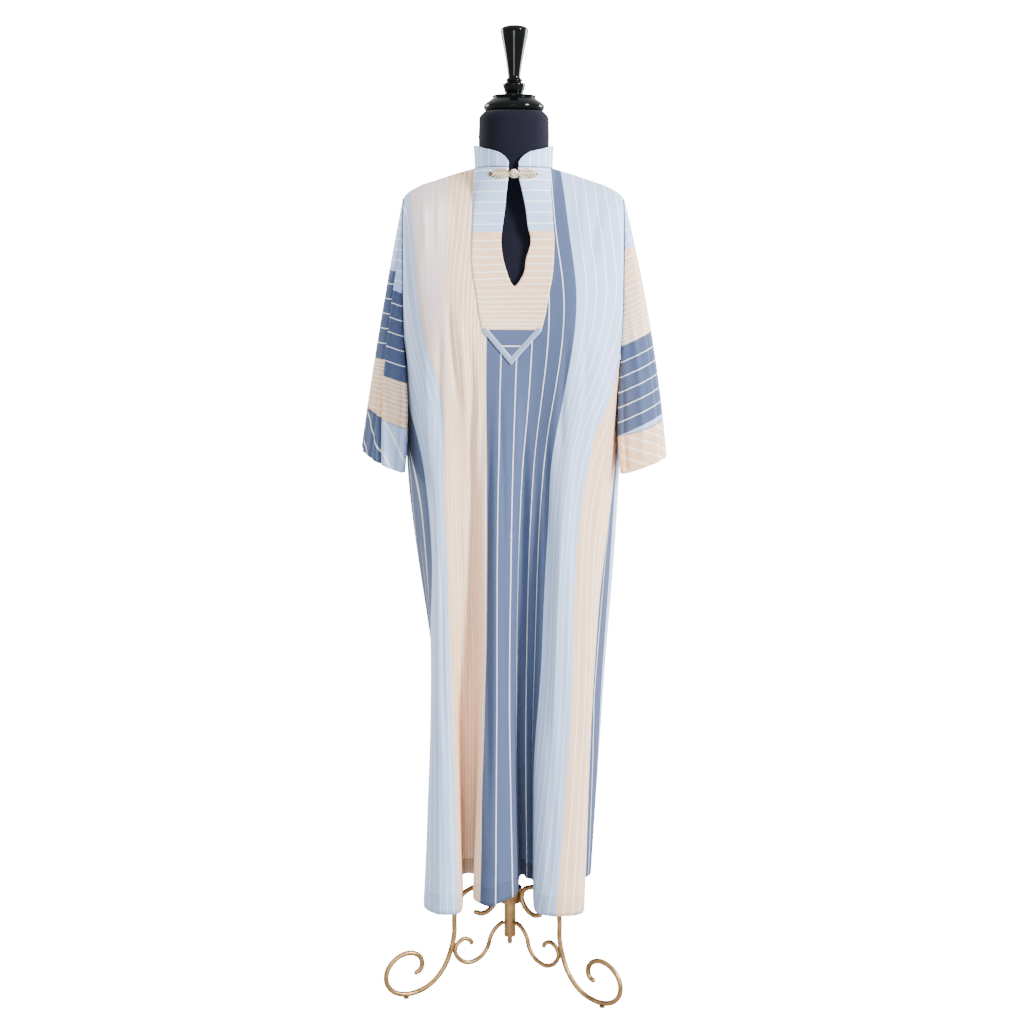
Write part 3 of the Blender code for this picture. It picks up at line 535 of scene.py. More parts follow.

# %% [markdown]
# ## Creases
# Between the big folds real cloth shows small soft pulls: from the shoulders down to the bust, under the
# arms, and long shallow pleats in the skirt. They were read off the photograph and are placed one
# by one, each a line with its own width and depth. The back, which the photograph hides, gets a similar
# uneven set. Each pushes the grid in or out along the cloth's own normal.

# %% Creases
# From X, Z to X, Z, half width, depth inwards (out if negative)
FRONT_CREASES = (
    (-0.150, 1.385, -0.146, 1.270, 0.006, -0.0022), (-0.128, 1.395, -0.118, 1.290, 0.005, -0.0018),
    (-0.096, 1.400, -0.101, 1.300, 0.006, 0.0014), (-0.170, 1.300, -0.150, 1.110, 0.007, 0.0030),
    (-0.106, 1.235, -0.092, 1.020, 0.0045, 0.0040), (-0.088, 1.225, -0.078, 0.980, 0.0040, -0.0030),
    (-0.072, 1.180, -0.066, 0.900, 0.0050, 0.0045), (-0.124, 1.190, -0.116, 0.950, 0.0055, 0.0032),
    (-0.146, 1.150, -0.138, 0.860, 0.0055, -0.0028), (-0.058, 1.120, -0.056, 0.830, 0.0040, -0.0026),
    (0.118, 1.405, 0.110, 1.270, 0.006, -0.0024), (0.140, 1.395, 0.126, 1.255, 0.005, 0.0030),
    (0.158, 1.385, 0.142, 1.260, 0.006, -0.0026), (0.094, 1.410, 0.098, 1.310, 0.006, 0.0014),
    (0.170, 1.250, 0.160, 1.060, 0.007, 0.0030), (0.124, 1.200, 0.112, 0.900, 0.0055, 0.0040),
    (0.142, 1.180, 0.126, 0.860, 0.0050, -0.0030), (0.090, 1.180, 0.080, 0.940, 0.0050, 0.0035),
    (-0.018, 1.100, -0.014, 0.720, 0.0040, 0.0026), (0.006, 1.090, 0.004, 0.640, 0.0040, -0.0026),
    (-0.036, 1.060, -0.038, 0.560, 0.0045, 0.0022), (-0.012, 0.760, -0.010, 0.360, 0.0050, 0.0032),
    (-0.044, 0.640, -0.046, 0.240, 0.0050, -0.0024), (0.066, 0.880, 0.060, 0.420, 0.0050, 0.0028),
    (0.104, 0.860, 0.096, 0.300, 0.0055, -0.0026), (0.118, 0.780, 0.112, 0.240, 0.0045, 0.0024),
    (-0.118, 0.840, -0.110, 0.400, 0.0050, 0.0026), (-0.134, 0.620, -0.136, 0.220, 0.0060, -0.0026),
    (-0.104, 0.420, -0.104, 0.180, 0.0050, -0.0022), (0.070, 0.400, 0.068, 0.180, 0.0050, 0.0022),
    (-0.020, 0.300, -0.022, 0.170, 0.0060, -0.0020), (0.100, 0.330, 0.102, 0.172, 0.0055, 0.0020),
    (0.018, 1.080, 0.022, 0.420, 0.0055, 0.0065), (0.036, 1.000, 0.030, 0.400, 0.0050, -0.0035),
    (0.060, 1.020, 0.048, 0.420, 0.0055, 0.0070), (-0.036, 1.000, -0.040, 0.300, 0.0055, 0.0040),
    (-0.068, 1.020, -0.066, 0.420, 0.0060, 0.0075), (-0.082, 0.960, -0.080, 0.400, 0.0050, -0.0035),
    (-0.096, 0.900, -0.092, 0.380, 0.0045, 0.0035), (-0.150, 1.060, -0.136, 0.640, 0.0060, 0.0060),
    (0.082, 0.960, 0.076, 0.380, 0.0050, -0.0035), (0.112, 1.060, 0.100, 0.560, 0.0060, 0.0045),
    (0.138, 1.120, 0.124, 0.700, 0.0060, 0.0050), (0.156, 1.080, 0.146, 0.760, 0.0060, -0.0040),
)
BACK_CREASES = (
    (-0.140, 1.380, -0.128, 1.200, 0.007, -0.0030), (-0.105, 1.390, -0.098, 1.180, 0.006, 0.0026),
    (0.120, 1.385, 0.112, 1.220, 0.007, -0.0028), (0.150, 1.370, 0.142, 1.160, 0.006, 0.0030),
    (-0.030, 1.400, -0.036, 1.120, 0.008, 0.0026), (0.034, 1.395, 0.028, 1.080, 0.007, -0.0026),
    (-0.165, 1.120, -0.150, 0.840, 0.006, 0.0036), (0.160, 1.140, 0.150, 0.800, 0.006, 0.0034),
    (-0.110, 1.020, -0.104, 0.560, 0.006, -0.0030), (-0.040, 0.980, -0.034, 0.420, 0.006, 0.0034),
    (0.030, 0.940, 0.026, 0.380, 0.006, -0.0032), (0.096, 0.960, 0.092, 0.480, 0.007, 0.0030),
    (-0.078, 0.560, -0.080, 0.180, 0.006, 0.0026), (0.124, 0.540, 0.120, 0.190, 0.006, -0.0026),
    (0.004, 0.500, 0.010, 0.175, 0.006, 0.0028), (-0.020, 0.760, -0.022, 0.300, 0.005, -0.0024),
)
CREASE_WANDER = 0.0025


def grid_normals(points, wrap=False):
    """Unit normals of a grid of points; with wrap, its last column is next to its first."""
    along = np.gradient(points, axis=0)
    if wrap:
        around = 0.5 * (np.roll(points, -1, axis=1) - np.roll(points, 1, axis=1))
    else:
        around = np.gradient(points, axis=1)
    normals = np.cross(along, around)
    return normals / np.maximum(np.linalg.norm(normals, axis=2, keepdims=True), 1e-9)


def smooth_step(t):
    """0 below 0 and 1 above 1, with a soft curve between."""
    t = np.clip(t, 0.0, 1.0)
    return t * t * (3 - 2 * t)


def crease_depth(creases, x, z):
    """How far all creases together push each point in."""
    total = np.zeros_like(x)
    for x0, z0, x1, z1, width, depth in creases:
        length = math.hypot(x1 - x0, z1 - z0)
        share = ((x - x0) * (x1 - x0) + (z - z0) * (z1 - z0)) / length**2
        wander = CREASE_WANDER * np.sin(share * 5.0 + x0 * 90.0)
        off = ((x - x0) * (z1 - z0) - (z - z0) * (x1 - x0)) / length + wander
        fade = smooth_step(share / 0.3) * smooth_step((1.0 - share) / 0.35)
        total += depth * np.exp(-((off / width) ** 2)) * fade
    return total


def creased(points, creases, outward_y):
    """The grid pushed in along its normals; outward_y is the sign of Y on the outside of the dress."""
    normals = grid_normals(points)
    side = outward_y * np.sign(normals[:, :, 1].mean())
    push = crease_depth(creases, points[:, :, 0], points[:, :, 2])
    return points - side * push[:, :, None] * normals


front_grid = creased(front_grid, FRONT_CREASES, -1.0)
back_grid = creased(back_grid, BACK_CREASES, 1.0)
print(len(FRONT_CREASES), "creases in front,", len(BACK_CREASES), "behind")

# %% [markdown]
# ## Making a sheet of cloth
# A grid of points becomes quads, and a Solidify modifier gives the cloth its thickness evenly to both
# sides. The UV map stores metres on the flat cloth for the stripes. Smooth shading hides the facets.

# %% Cloth helper
CLOTH = 0.0010


def place_piece(name, data, material, replaced):
    """Sets a piece on the form's axis, hangs it on the root body, and hides the frame's parts it replaces."""
    data.materials.append(material)
    piece = bpy.data.objects.new(name, data)
    scene.collection.objects.link(piece)
    piece.location = AXIS
    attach(piece, "root")
    if replaced:
        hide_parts(*replaced)
    return piece


def finish_piece(name, mesh, material, replaced):
    data = bpy.data.meshes.new(name)
    mesh.to_mesh(data)
    mesh.free()
    data.shade_smooth()
    return place_piece(name, data, material, replaced)


def grid_faces(mesh, points, places, wrap=False, keep=None):
    """Adds a grid's vertices and quads; keep decides which quads stay, by their middle point."""
    layer = mesh.loops.layers.uv.get("cloth") or mesh.loops.layers.uv.new("cloth")
    rows, columns = points.shape[:2]
    verts = [[mesh.verts.new(p) for p in row] for row in points]
    for i in range(rows - 1):
        for j in range(columns if wrap else columns - 1):
            k = (j + 1) % columns
            corners = ((i, j), (i + 1, j), (i + 1, k), (i, k))
            if keep and not all(keep(*points[c]) for c in corners):
                continue
            face = mesh.faces.new([verts[a][b] for a, b in corners])
            for loop, (a, b) in zip(face.loops, corners):
                column = b if not (wrap and k == 0 and b == 0) else columns
                loop[layer].uv = places[a][column]
    loose = [v for v in mesh.verts if not v.link_faces]
    bmesh.ops.delete(mesh, geom=loose, context="VERTS")


def thicken(piece, thickness):
    """Gives a sheet its thickness, half to each side."""
    wall = piece.modifiers.new("Thickness", "SOLIDIFY")
    wall.thickness = thickness
    wall.offset = 0.0
    wall.use_even_offset = False


def cloth_piece(name, points, places, material, replaced, wrap=False, keep=None, thickness=CLOTH):
    mesh = bmesh.new()
    grid_faces(mesh, points, places, wrap, keep)
    piece = finish_piece(name, mesh, material, replaced)
    thicken(piece, thickness)
    print(name, len(piece.data.polygons), "quads")
    return piece


# %% [markdown]
# ## Front and back panel
# The real garment is cut from two A-shaped panels, sewn along the shoulders and sides. The front has the
# bib set in at the neck. Here the panel's quads are left out behind the bib, a little inside its edge, so
# the bib covers the cut as a sewn one does.

# %% The bib's outline
# Height, X of the left edge, X of the right edge
BIB_EDGES = (
    (1.168, -0.0510, 0.0475), (1.190, -0.0560, 0.0530), (1.225, -0.0612, 0.0590), (1.250, -0.0655, 0.0640),
    (1.277, -0.0690, 0.0668), (1.315, -0.0684, 0.0678), (1.350, -0.0672, 0.0650), (1.400, -0.0660, 0.0610),
    (1.450, -0.0640, 0.0600),
)
BIB_POINT = (-0.0030, 1.112)
BIB_TOP = 1.4345
BIB_COVER = 0.006


def bib_edges(z):
    """X of the bib's left and right edge at a height."""
    heights, lefts, rights = zip(*BIB_EDGES)
    if z >= heights[0]:
        return smooth_value(heights, lefts, z), smooth_value(heights, rights, z)
    share = (z - BIB_POINT[1]) / (heights[0] - BIB_POINT[1])
    return BIB_POINT[0] + (lefts[0] - BIB_POINT[0]) * share, BIB_POINT[0] + (rights[0] - BIB_POINT[0]) * share


def outside_bib(x, y, z):
    """Whether the panel shows at a point, or is left out behind the bib."""
    if z < BIB_POINT[1] + 1.5 * BIB_COVER:
        return True
    left, right = bib_edges(z)
    return not (left + BIB_COVER < x < right - BIB_COVER)


print("bib edges at 1.30 m", [round(x, 4) for x in bib_edges(1.30)])

# %% Front and back panel
cloth_piece(
    "front_cloth", front_grid, front_places, panel_cloth, ["front_panel"], keep=outside_bib
)
cloth_piece("back_cloth", back_grid, back_places, panel_cloth, ["back_panel"])

# %% [markdown]
# ## The bib, its keyhole and its V binding
# The bib is the same cloth turned a quarter, so its stripes run across: light blue at the neck, beige
# round the keyhole and slate in the point. It must lie on the panel everywhere, so its points are taken
# from the panel's own surface and moved out by a millimetre. The grid follows the bib's edges and splits
# round the keyhole, which keeps both outlines clean without a Boolean.

# %% Points on the front of the dress
seek_heights = np.linspace(1.05, NECK_Z, 90)
seek_x = np.linspace(-0.10, 0.10, 201)
seek_y = []
for height in seek_heights:
    line = spline(fold_section(FRONT_FOLDS, height, True), 4, plan=2)[8:-8]
    seek_y.append(np.interp(seek_x, line[:, 0], line[:, 1]))
seek_y = np.array(seek_y)


def front_depth(x, z):
    """Y of the front panel at X and Z."""
    x, z = np.asarray(x, float), np.asarray(z, float)
    rise = np.clip((z - CHEST_Z) / (top_z(x) - CHEST_Z), 0.0, 1.0)
    height = np.where(z > CHEST_Z, CHEST_Z + rise * (NECK_Z - CHEST_Z), z)
    steps = (height - seek_heights[0]) / (seek_heights[1] - seek_heights[0])
    i = np.clip(steps, 0, len(seek_heights) - 1.001)
    j = np.clip((x - seek_x[0]) / (seek_x[1] - seek_x[0]), 0, len(seek_x) - 1.001)
    i0, j0 = i.astype(int), j.astype(int)
    a, b = i - i0, j - j0
    base = (1 - a) * ((1 - b) * seek_y[i0, j0] + b * seek_y[i0, j0 + 1])
    base = base + a * ((1 - b) * seek_y[i0 + 1, j0] + b * seek_y[i0 + 1, j0 + 1])
    return np.where(rise > 0.0, above_chest(x, base, rise, True), base)


def on_front(x, z, lift, step=0.003):
    """Points on the front panel at X and Z, moved out along its normal."""
    x, z = np.asarray(x, float), np.asarray(z, float)
    y = front_depth(x, z)
    slope_x = (front_depth(x + step, z) - front_depth(x - step, z)) / (2 * step)
    slope_z = (front_depth(x, z + step) - front_depth(x, z - step)) / (2 * step)
    normal = np.stack([slope_x, -np.ones_like(x), slope_z], axis=-1)
    normal = normal / np.linalg.norm(normal, axis=-1, keepdims=True)
    return np.stack([x, y, z], axis=-1) + np.asarray(lift)[..., None] * normal


print("depth at the breastbone", front_depth(0.0, 1.24).round(4))

# %% Bib
KEYHOLE = (
    (1.239, 0.0010, 0.0040), (1.246, -0.0045, 0.0095), (1.258, -0.0090, 0.0165), (1.283, -0.0165, 0.0210),
    (1.315, -0.0200, 0.0285), (1.335, -0.0180, 0.0240), (1.365, -0.0140, 0.0200), (1.398, -0.0110, 0.0130),
    (1.415, -0.0090, 0.0090), (1.480, -0.0090, 0.0090),
)
KEYHOLE_FOOT = KEYHOLE[0][0]
KEYHOLE_WIDE_Z = 1.250
BIB_LIFT = 0.0013
BIB_HALF_COLUMNS = 18
# Height of the light blue's lower edge, and how far the stripes sag across the bib
BIB_STRIPES_UP = 1.328
BIB_SAG = 0.0014
BIB_CREASES = (
    (0.024, 1.330, 0.062, 1.316, 0.004, -0.0022), (0.020, 1.346, 0.058, 1.352, 0.004, 0.0018),
    (-0.066, 1.300, -0.020, 1.286, 0.004, 0.0018), (-0.062, 1.278, -0.014, 1.272, 0.0035, -0.0016),
    (-0.060, 1.330, -0.022, 1.322, 0.004, -0.0012), (0.018, 1.400, 0.056, 1.384, 0.005, -0.0014),
)


def keyhole_edges(z):
    """X of the keyhole's left and right edge at a height."""
    heights, lefts, rights = zip(*KEYHOLE)
    return smooth_value(heights, lefts, z), smooth_value(heights, rights, z)


def bib_row(z, x_from, x_to):
    return np.column_stack([np.linspace(x_from, x_to, BIB_HALF_COLUMNS), np.full(BIB_HALF_COLUMNS, z)])


def bib_rows(z_values, halves):
    """Two grids of X and Z, left and right of the keyhole, or of the bib's middle below it."""
    left_half, right_half = [], []
    for z in z_values:
        left, right = bib_edges(z)
        if halves:
            inner_left, inner_right = keyhole_edges(z)
        else:
            share = smooth_step((KEYHOLE_FOOT - z) / 0.05)
            foot = 0.0025 * (1 - share) + 0.5 * (left + right) * share
            inner_left = inner_right = float(foot)
        left_half.append(bib_row(z, left, inner_left))
        right_half.append(bib_row(z, inner_right, right))
    return np.array(left_half), np.array(right_half)


foot_z, foot_left, foot_right = BIB_EDGES[0]
upper_z = [*np.linspace(BIB_TOP, KEYHOLE_WIDE_Z, 50), *np.linspace(KEYHOLE_WIDE_Z, KEYHOLE_FOOT, 7)[1:]]
lower_z = [*np.linspace(KEYHOLE_FOOT, foot_z, 20), *np.linspace(foot_z, BIB_POINT[1], 16)[1:]]
bib_mesh = bmesh.new()
for z_values, halves in ((upper_z, True), (lower_z, False)):
    for half in bib_rows(z_values, halves):
        x, z = half[:, :, 0], half[:, :, 1]
        lift = BIB_LIFT - crease_depth(BIB_CREASES, x, z)
        sag = BIB_SAG * np.sin(np.clip(x / 0.06, -1, 1) * math.pi * 0.5 + 0.4) * smooth_step((z - 1.16) / 0.1)
        places = np.stack([LIGHT_END + BIB_STRIPES_UP - z + sag, x], axis=-1)
        grid_faces(bib_mesh, on_front(x, z, lift), places)
bmesh.ops.remove_doubles(bib_mesh, verts=bib_mesh.verts, dist=0.00002)
bib = finish_piece("bib_cloth", bib_mesh, plain_striped, ["bib_panel"])
thicken(bib, CLOTH)
print("bib", len(bib.data.polygons), "quads")

# %% [markdown]
# ## The V binding
# A narrow bias strip finishes each side of the bib's point, and the two are mitred at the tip. Its colour
# is worked out across the strip: blue in the middle and paler at the turned edges, where the light catches
# the fold.

# %% V binding
binding_cloth, wire, shader, uv = cloth_material("binding_cloth")
across_binding = wire.node("ShaderNodeSeparateXYZ", None, {0: uv})
pale_edge = (across_binding - 0.5).maths("ABSOLUTE", across_binding - 0.5).past(0.40, 0.10)
weave = wire.node("ShaderNodeTexNoise", None, {"Vector": uv, "Scale": 700.0, "Detail": 2.0})
paleness = (pale_edge * 0.75 + weave * 0.12).clamp()
connect(shader, "Base Color", paleness.mix(colour(120, 138, 176), colour(214, 222, 236)))
connect(shader, "Normal", bump(wire, weave - pale_edge, 0.4, 0.0003))

BINDING_ROWS = 32
BINDING_COLUMNS = 7
BINDING_CROWN = 0.0004
BINDING_WIDTH = 0.0075
BINDING_LAP = 0.001
BINDING_LIFT = BIB_LIFT + 0.0010
BINDING_THICKNESS = 0.0007


def binding_points(corner, side):
    """A strip along one edge of the bib's point, mitred at the tip."""
    tip, corner = np.array(BIB_POINT), np.array(corner)
    along = (corner - tip) / np.linalg.norm(corner - tip)
    inward = np.array([-along[1], along[0]]) * side
    crown = BINDING_CROWN * np.sin(np.linspace(0, math.pi, BINDING_COLUMNS))
    rows, places = [], []
    for k in range(BINDING_ROWS + 1):
        share = k / BINDING_ROWS
        base = tip + (corner - tip) * share
        low = base - inward * BINDING_LAP
        high = base + inward * BINDING_WIDTH
        if k == 0:
            low = tip + np.array([0.0, -BINDING_LAP / abs(along[0])])
            high = tip + np.array([0.0, BINDING_WIDTH / abs(along[0])])
        line = np.linspace(low, high, BINDING_COLUMNS)
        rows.append(on_front(line[:, 0], line[:, 1], BINDING_LIFT + crown))
        places.append(np.column_stack([np.linspace(0, 1, BINDING_COLUMNS), np.full(BINDING_COLUMNS, share)]))
    return np.array(rows), np.array(places)


for side, foot_x, sign in (("left", foot_left, -1), ("right", foot_right, 1)):
    rows, places = binding_points((foot_x, foot_z), sign)
    cloth_piece(
        f"binding_strip_{side}", rows, places, binding_cloth, [f"bib_binding_{side}"],
        thickness=BINDING_THICKNESS,
    )

# %% [markdown]
# ## The stand collar
# A shallow band stands round the neck and rounds down to the seam at both front ends. It is a ring of
# columns whose height falls near the opening. Its top leans out a little and waves, as stiffened cloth
# does that has been worn.

# %% Collar
COLLAR_BOTTOM = 1.4364
COLLAR_HEIGHT = 0.0375
COLLAR_RADIUS = 0.0655
COLLAR_GAP_HALF = 0.0085
COLLAR_COLUMNS = 168
COLLAR_ROWS = 12
COLLAR_THICKNESS = 0.0013
COLLAR_LEAN, COLLAR_WAVE = 0.030, 0.008
# The light blue's start on the cloth, and how far round the collar its threads run before they turn
COLLAR_PLACE, COLLAR_TURN = 0.161, 0.1
# X away from the middle and the collar's height there
COLLAR_EDGE = (
    (0.0085, 0.0070), (0.0105, 0.0112), (0.0128, 0.0138), (0.0180, 0.0188), (0.0250, 0.0232),
    (0.0370, 0.0272), (0.0490, 0.0304), (0.0600, 0.0350), (0.0655, 0.0375),
)


def collar_height(x):
    """Height of the front half at X."""
    return smooth_value(*zip(*COLLAR_EDGE), abs(x))


gap_angle = math.asin(COLLAR_GAP_HALF / COLLAR_RADIUS)
collar_points, collar_places = [], []
for i in range(COLLAR_ROWS + 1):
    share = 1.0 - i / COLLAR_ROWS
    row, place_row = [], []
    for k in range(COLLAR_COLUMNS + 1):
        angle = gap_angle + (2 * math.pi - 2 * gap_angle) * k / COLLAR_COLUMNS
        x = COLLAR_RADIUS * math.sin(angle)
        y = -COLLAR_RADIUS * math.cos(angle)
        height = collar_height(x) if y < 0 else COLLAR_HEIGHT
        lean = 1.0 + COLLAR_LEAN * share**2 * abs(math.sin(angle)) ** 4
        lean += COLLAR_WAVE * share * math.sin(3.0 * angle + 0.7)
        row.append((x * lean, y * lean, COLLAR_BOTTOM + share * height))
        around = COLLAR_RADIUS * min(angle, 2 * math.pi - angle)
        to_and_fro = abs((around / COLLAR_TURN + 0.3) % 2.0 - 1.0)
        place_row.append((COLLAR_PLACE + COLLAR_TURN * to_and_fro, share * height))
    collar_points.append(row)
    collar_places.append(place_row)
cloth_piece(
    "collar_cloth", np.array(collar_points), np.array(collar_places), plain_striped,
    ["stand_collar"], thickness=COLLAR_THICKNESS,
)

# %% [markdown]
# ## Sleeves and cuffs
# Each sleeve is a wide tube set on the side of the panels. Its lines run from the armhole to the hem with a
# slight outward bow. The cloth is turned, so the bands run round the sleeve, and the cuff is cut on the
# bias, so its stripes run slantwise. The left sleeve hangs in a deep fold that starts near the shoulder: the
# strip outside the fold lies lower than the layer in front of it, so the bands step down there.

# %% Sleeves and cuffs
SLEEVE_TOP_Z = 1.388
SLEEVE_START = 0.1869
SLEEVE_COLUMNS = 240
SLEEVE_ROWS = 44
CUFF_ROWS = 14
SLEEVE_SHARE = 0.8
CUFF_GAP = 0.003
# The left sleeve's fold, in turns round the sleeve from its top, and how the bands step there
FOLD_AT_TOP, FOLD_AT_HEM = 0.15, 0.27
BACK_FROM, BACK_REACH = 0.60, 0.35
UNDERARM_TURN = 0.54
STRIP_DROP = 0.024
STRIP_SLOPE, FRONT_SLOPE = 0.06, 0.38
RIGHT_SLOPE = 0.50
LEFT_SLATE_TOP, RIGHT_SLATE_TOP = 1.240, 1.177
CUFF_SLANT = 0.7
CUFF_DEPTHS = {"left": 0.075, "right": 0.064}
SLEEVE_HEMS = {
    "left": (
        (-0.262, 0.030, 0.963), (-0.235, -0.050, 0.942), (-0.1865, -0.051, 0.922), (-0.1885, 0.004, 0.936),
        (-0.194, 0.060, 0.950), (-0.250, 0.075, 0.965),
    ),
    "right": (
        (0.266, 0.010, 0.953), (0.252, -0.050, 0.944), (0.1885, -0.051, 0.922), (0.1905, 0.004, 0.934),
        (0.198, 0.060, 0.945), (0.252, 0.070, 0.956),
    ),
}
SLEEVE_BULGE = {"left": 0.003, "right": 0.009}
# Turn round the sleeve at the armhole and at the hem, where it starts and ends, half width, depth
SLEEVE_CREASES = {
    "left": (
        (0.12, 0.12, 0.10, 0.95, 0.020, -0.0030), (0.17, 0.21, 0.30, 1.00, 0.014, 0.0026),
        (0.15, 0.27, 0.02, 1.00, 0.009, 0.0085), (0.18, 0.302, 0.02, 1.00, 0.018, -0.0042),
        (0.34, 0.36, 0.30, 1.00, 0.012, 0.0030), (0.62, 0.62, 0.15, 0.90, 0.020, 0.0030),
        (0.74, 0.74, 0.30, 1.00, 0.022, -0.0028), (0.90, 0.90, 0.05, 0.60, 0.018, 0.0022),
    ),
    "right": (
        (0.14, 0.16, 0.20, 1.00, 0.018, 0.0035), (0.26, 0.26, 0.10, 0.85, 0.020, -0.0030),
        (0.32, 0.34, 0.35, 1.00, 0.014, 0.0032), (0.66, 0.66, 0.20, 0.95, 0.022, 0.0030),
        (0.82, 0.82, 0.10, 0.80, 0.020, -0.0026),
    ),
}
INNER_BOW = 0.006
OUTER_FROM, OUTER_REACH = 0.195, 0.03
INNER_FRONT_FROM, INNER_FRONT_REACH = -0.010, 0.03


def sleeve_lines(side):
    """For each column round the sleeve: its point on the armhole, one half way and one on the hem."""
    sign = -1.0 if side == "left" else 1.0
    armhole = []
    for k in range(SLEEVE_COLUMNS):
        turn = 2 * math.pi * k / SLEEVE_COLUMNS
        z = 0.5 * (SLEEVE_TOP_Z + UNDERARM_Z) + 0.5 * (SLEEVE_TOP_Z - UNDERARM_Z) * math.cos(turn)
        column = SEAM_COLUMNS[3 if math.sin(turn) > 0 else 4]
        y = np.interp(z, SEAM_COLUMNS[0], column)
        if z > CHEST_Z:
            y *= 1.0 - ((z - CHEST_Z) / (SLEEVE_TOP_Z - CHEST_Z)) ** SHOULDER_ROUND
        armhole.append((sign * SLEEVE_START, y, z + SEAM_GAP))
    corners = SLEEVE_HEMS[side]
    hem = evenly(np.vstack([spline(corners, 24, closed=True), corners[:1]]), SLEEVE_COLUMNS + 1)[:-1]
    armhole = np.array(armhole)
    outer = smooth_step((np.abs(hem[:, 0]) - OUTER_FROM) / OUTER_REACH)
    inner_front = smooth_step((INNER_FRONT_FROM - hem[:, 1]) / INNER_FRONT_REACH) * (1.0 - outer)
    middle = 0.5 * (armhole + hem)
    middle[:, 0] += sign * (SLEEVE_BULGE[side] * outer - INNER_BOW * inner_front)
    return armhole, middle, hem


def along_lines(lines, share):
    """The ring of points at a share of the way down, on a curve through each line's three points."""
    a, middle, b = lines
    share = np.asarray(share)[:, None]
    start = a * (1 - share) * (1 - 2 * share)
    return start + middle * 4 * share * (1 - share) + b * share * (2 * share - 1)


def fold_turn(share):
    """Where the left sleeve's fold runs, at a share of the way down."""
    return FOLD_AT_TOP + (FOLD_AT_HEM - FOLD_AT_TOP) * share


def strip_share(turn, share):
    """1 on the left sleeve's outer strip, 0 on its front layer, with a slow return round the back."""
    outer = np.where(turn < fold_turn(share), 1.0, 0.0)
    return np.maximum(outer, smooth_step((turn - BACK_FROM) / BACK_REACH))


def sleeve_place(side, points):
    """The band of the cloth at each point, by its height on the slanting sleeve."""
    x, y, z = np.abs(points[:, :, 0]), points[:, :, 1], points[:, :, 2]
    if side == "left":
        turn = np.arange(SLEEVE_COLUMNS)[None, :] / SLEEVE_COLUMNS
        outside = strip_share(turn, SLEEVE_SHARE * np.linspace(0.0, 1.0, len(points))[:, None])
        slope = FRONT_SLOPE + (STRIP_SLOPE - FRONT_SLOPE) * outside
        height = z - slope * (x - 0.225) - 0.08 * (y + 0.05) - STRIP_DROP * outside
        return SLATE_END - (LEFT_SLATE_TOP - height)
    height = z - RIGHT_SLOPE * (x - 0.262) - 0.04 * (y + 0.05)
    return RIGHT_SLATE_TOP - height


def push_sleeve(side, points, shares):
    """The sleeve's rings pushed in and out by its creases."""
    normals = grid_normals(points, wrap=True)
    middle = points.mean(axis=1, keepdims=True)
    outward = np.sign(np.sum(normals * (points - middle), axis=2, keepdims=True))
    turn = np.arange(SLEEVE_COLUMNS) / SLEEVE_COLUMNS
    push = np.zeros(points.shape[:2])
    for at_top, at_hem, start, end, width, depth in SLEEVE_CREASES[side]:
        at = at_top + (at_hem - at_top) * shares[:, None]
        off = np.abs((turn[None, :] - at + 0.5) % 1.0 - 0.5)
        fade = smooth_step((shares - start) / 0.25) * smooth_step((end + 0.2 - shares) / 0.2)
        push += depth * np.exp(-((off / width) ** 2)) * fade[:, None]
    return points - push[:, :, None] * normals * outward


def closed_places(across, around):
    """Places for a ring, with one more column so that the last quad doesn't run back through the cloth."""
    across = np.column_stack([across, across[:, :1]])
    return np.stack([across, around], axis=-1)


def cuff_places(side, shares, around):
    """The bias cuff's places: the left one has a slate strip beside the fold and light blue in front."""
    down = shares[:, None] * CUFF_DEPTHS[side]
    way = around[None, :]
    if side == "left":
        turn = (way / around[-1] - UNDERARM_TURN) % 1.0
        fold = (fold_turn(SLEEVE_SHARE + shares[:, None] * (1.0 - SLEEVE_SHARE)) - UNDERARM_TURN) % 1.0
        strip = 0.18 * turn - 0.05 - 0.5 * down
        front_layer = 0.18 + 0.18 * (turn - fold) - 0.3 * down
        across = np.where(turn < fold, strip, front_layer)
    else:
        across = -0.085 - CUFF_SLANT * (way - 0.10) * 0.55 - CUFF_SLANT * down * 0.9
    return np.stack([across, CUFF_SLANT * (way + down)], axis=-1)


for side in ("left", "right"):
    lines = sleeve_lines(side)
    cut = 1.0 - CUFF_DEPTHS[side] / np.linalg.norm(lines[2] - lines[0], axis=1)
    ring = np.vstack([lines[2], lines[2][:1]])
    around = np.concatenate([[0.0], np.cumsum(np.linalg.norm(np.diff(ring, axis=0), axis=1))])

    shares = np.linspace(0.0, 1.0, SLEEVE_ROWS + 1)
    sleeve = np.array([along_lines(lines, share * (cut - CUFF_GAP)) for share in shares])
    sleeve = push_sleeve(side, sleeve, shares * SLEEVE_SHARE)
    places = closed_places(sleeve_place(side, sleeve), np.tile(around, (SLEEVE_ROWS + 1, 1)))
    cloth_piece(
        f"sleeve_cloth_{side}", sleeve, places, plain_striped, [f"sleeve_{side}"], wrap=True
    )

    shares = np.linspace(0.0, 1.0, CUFF_ROWS + 1)
    cuff = np.array([along_lines(lines, cut + (1 - cut) * share) for share in shares])
    cuff = push_sleeve(side, cuff, SLEEVE_SHARE + shares * (1.0 - SLEEVE_SHARE))
    places = cuff_places(side, shares, around)
    cloth_piece(f"cuff_cloth_{side}", cuff, places, plain_striped, [f"cuff_{side}"], wrap=True)
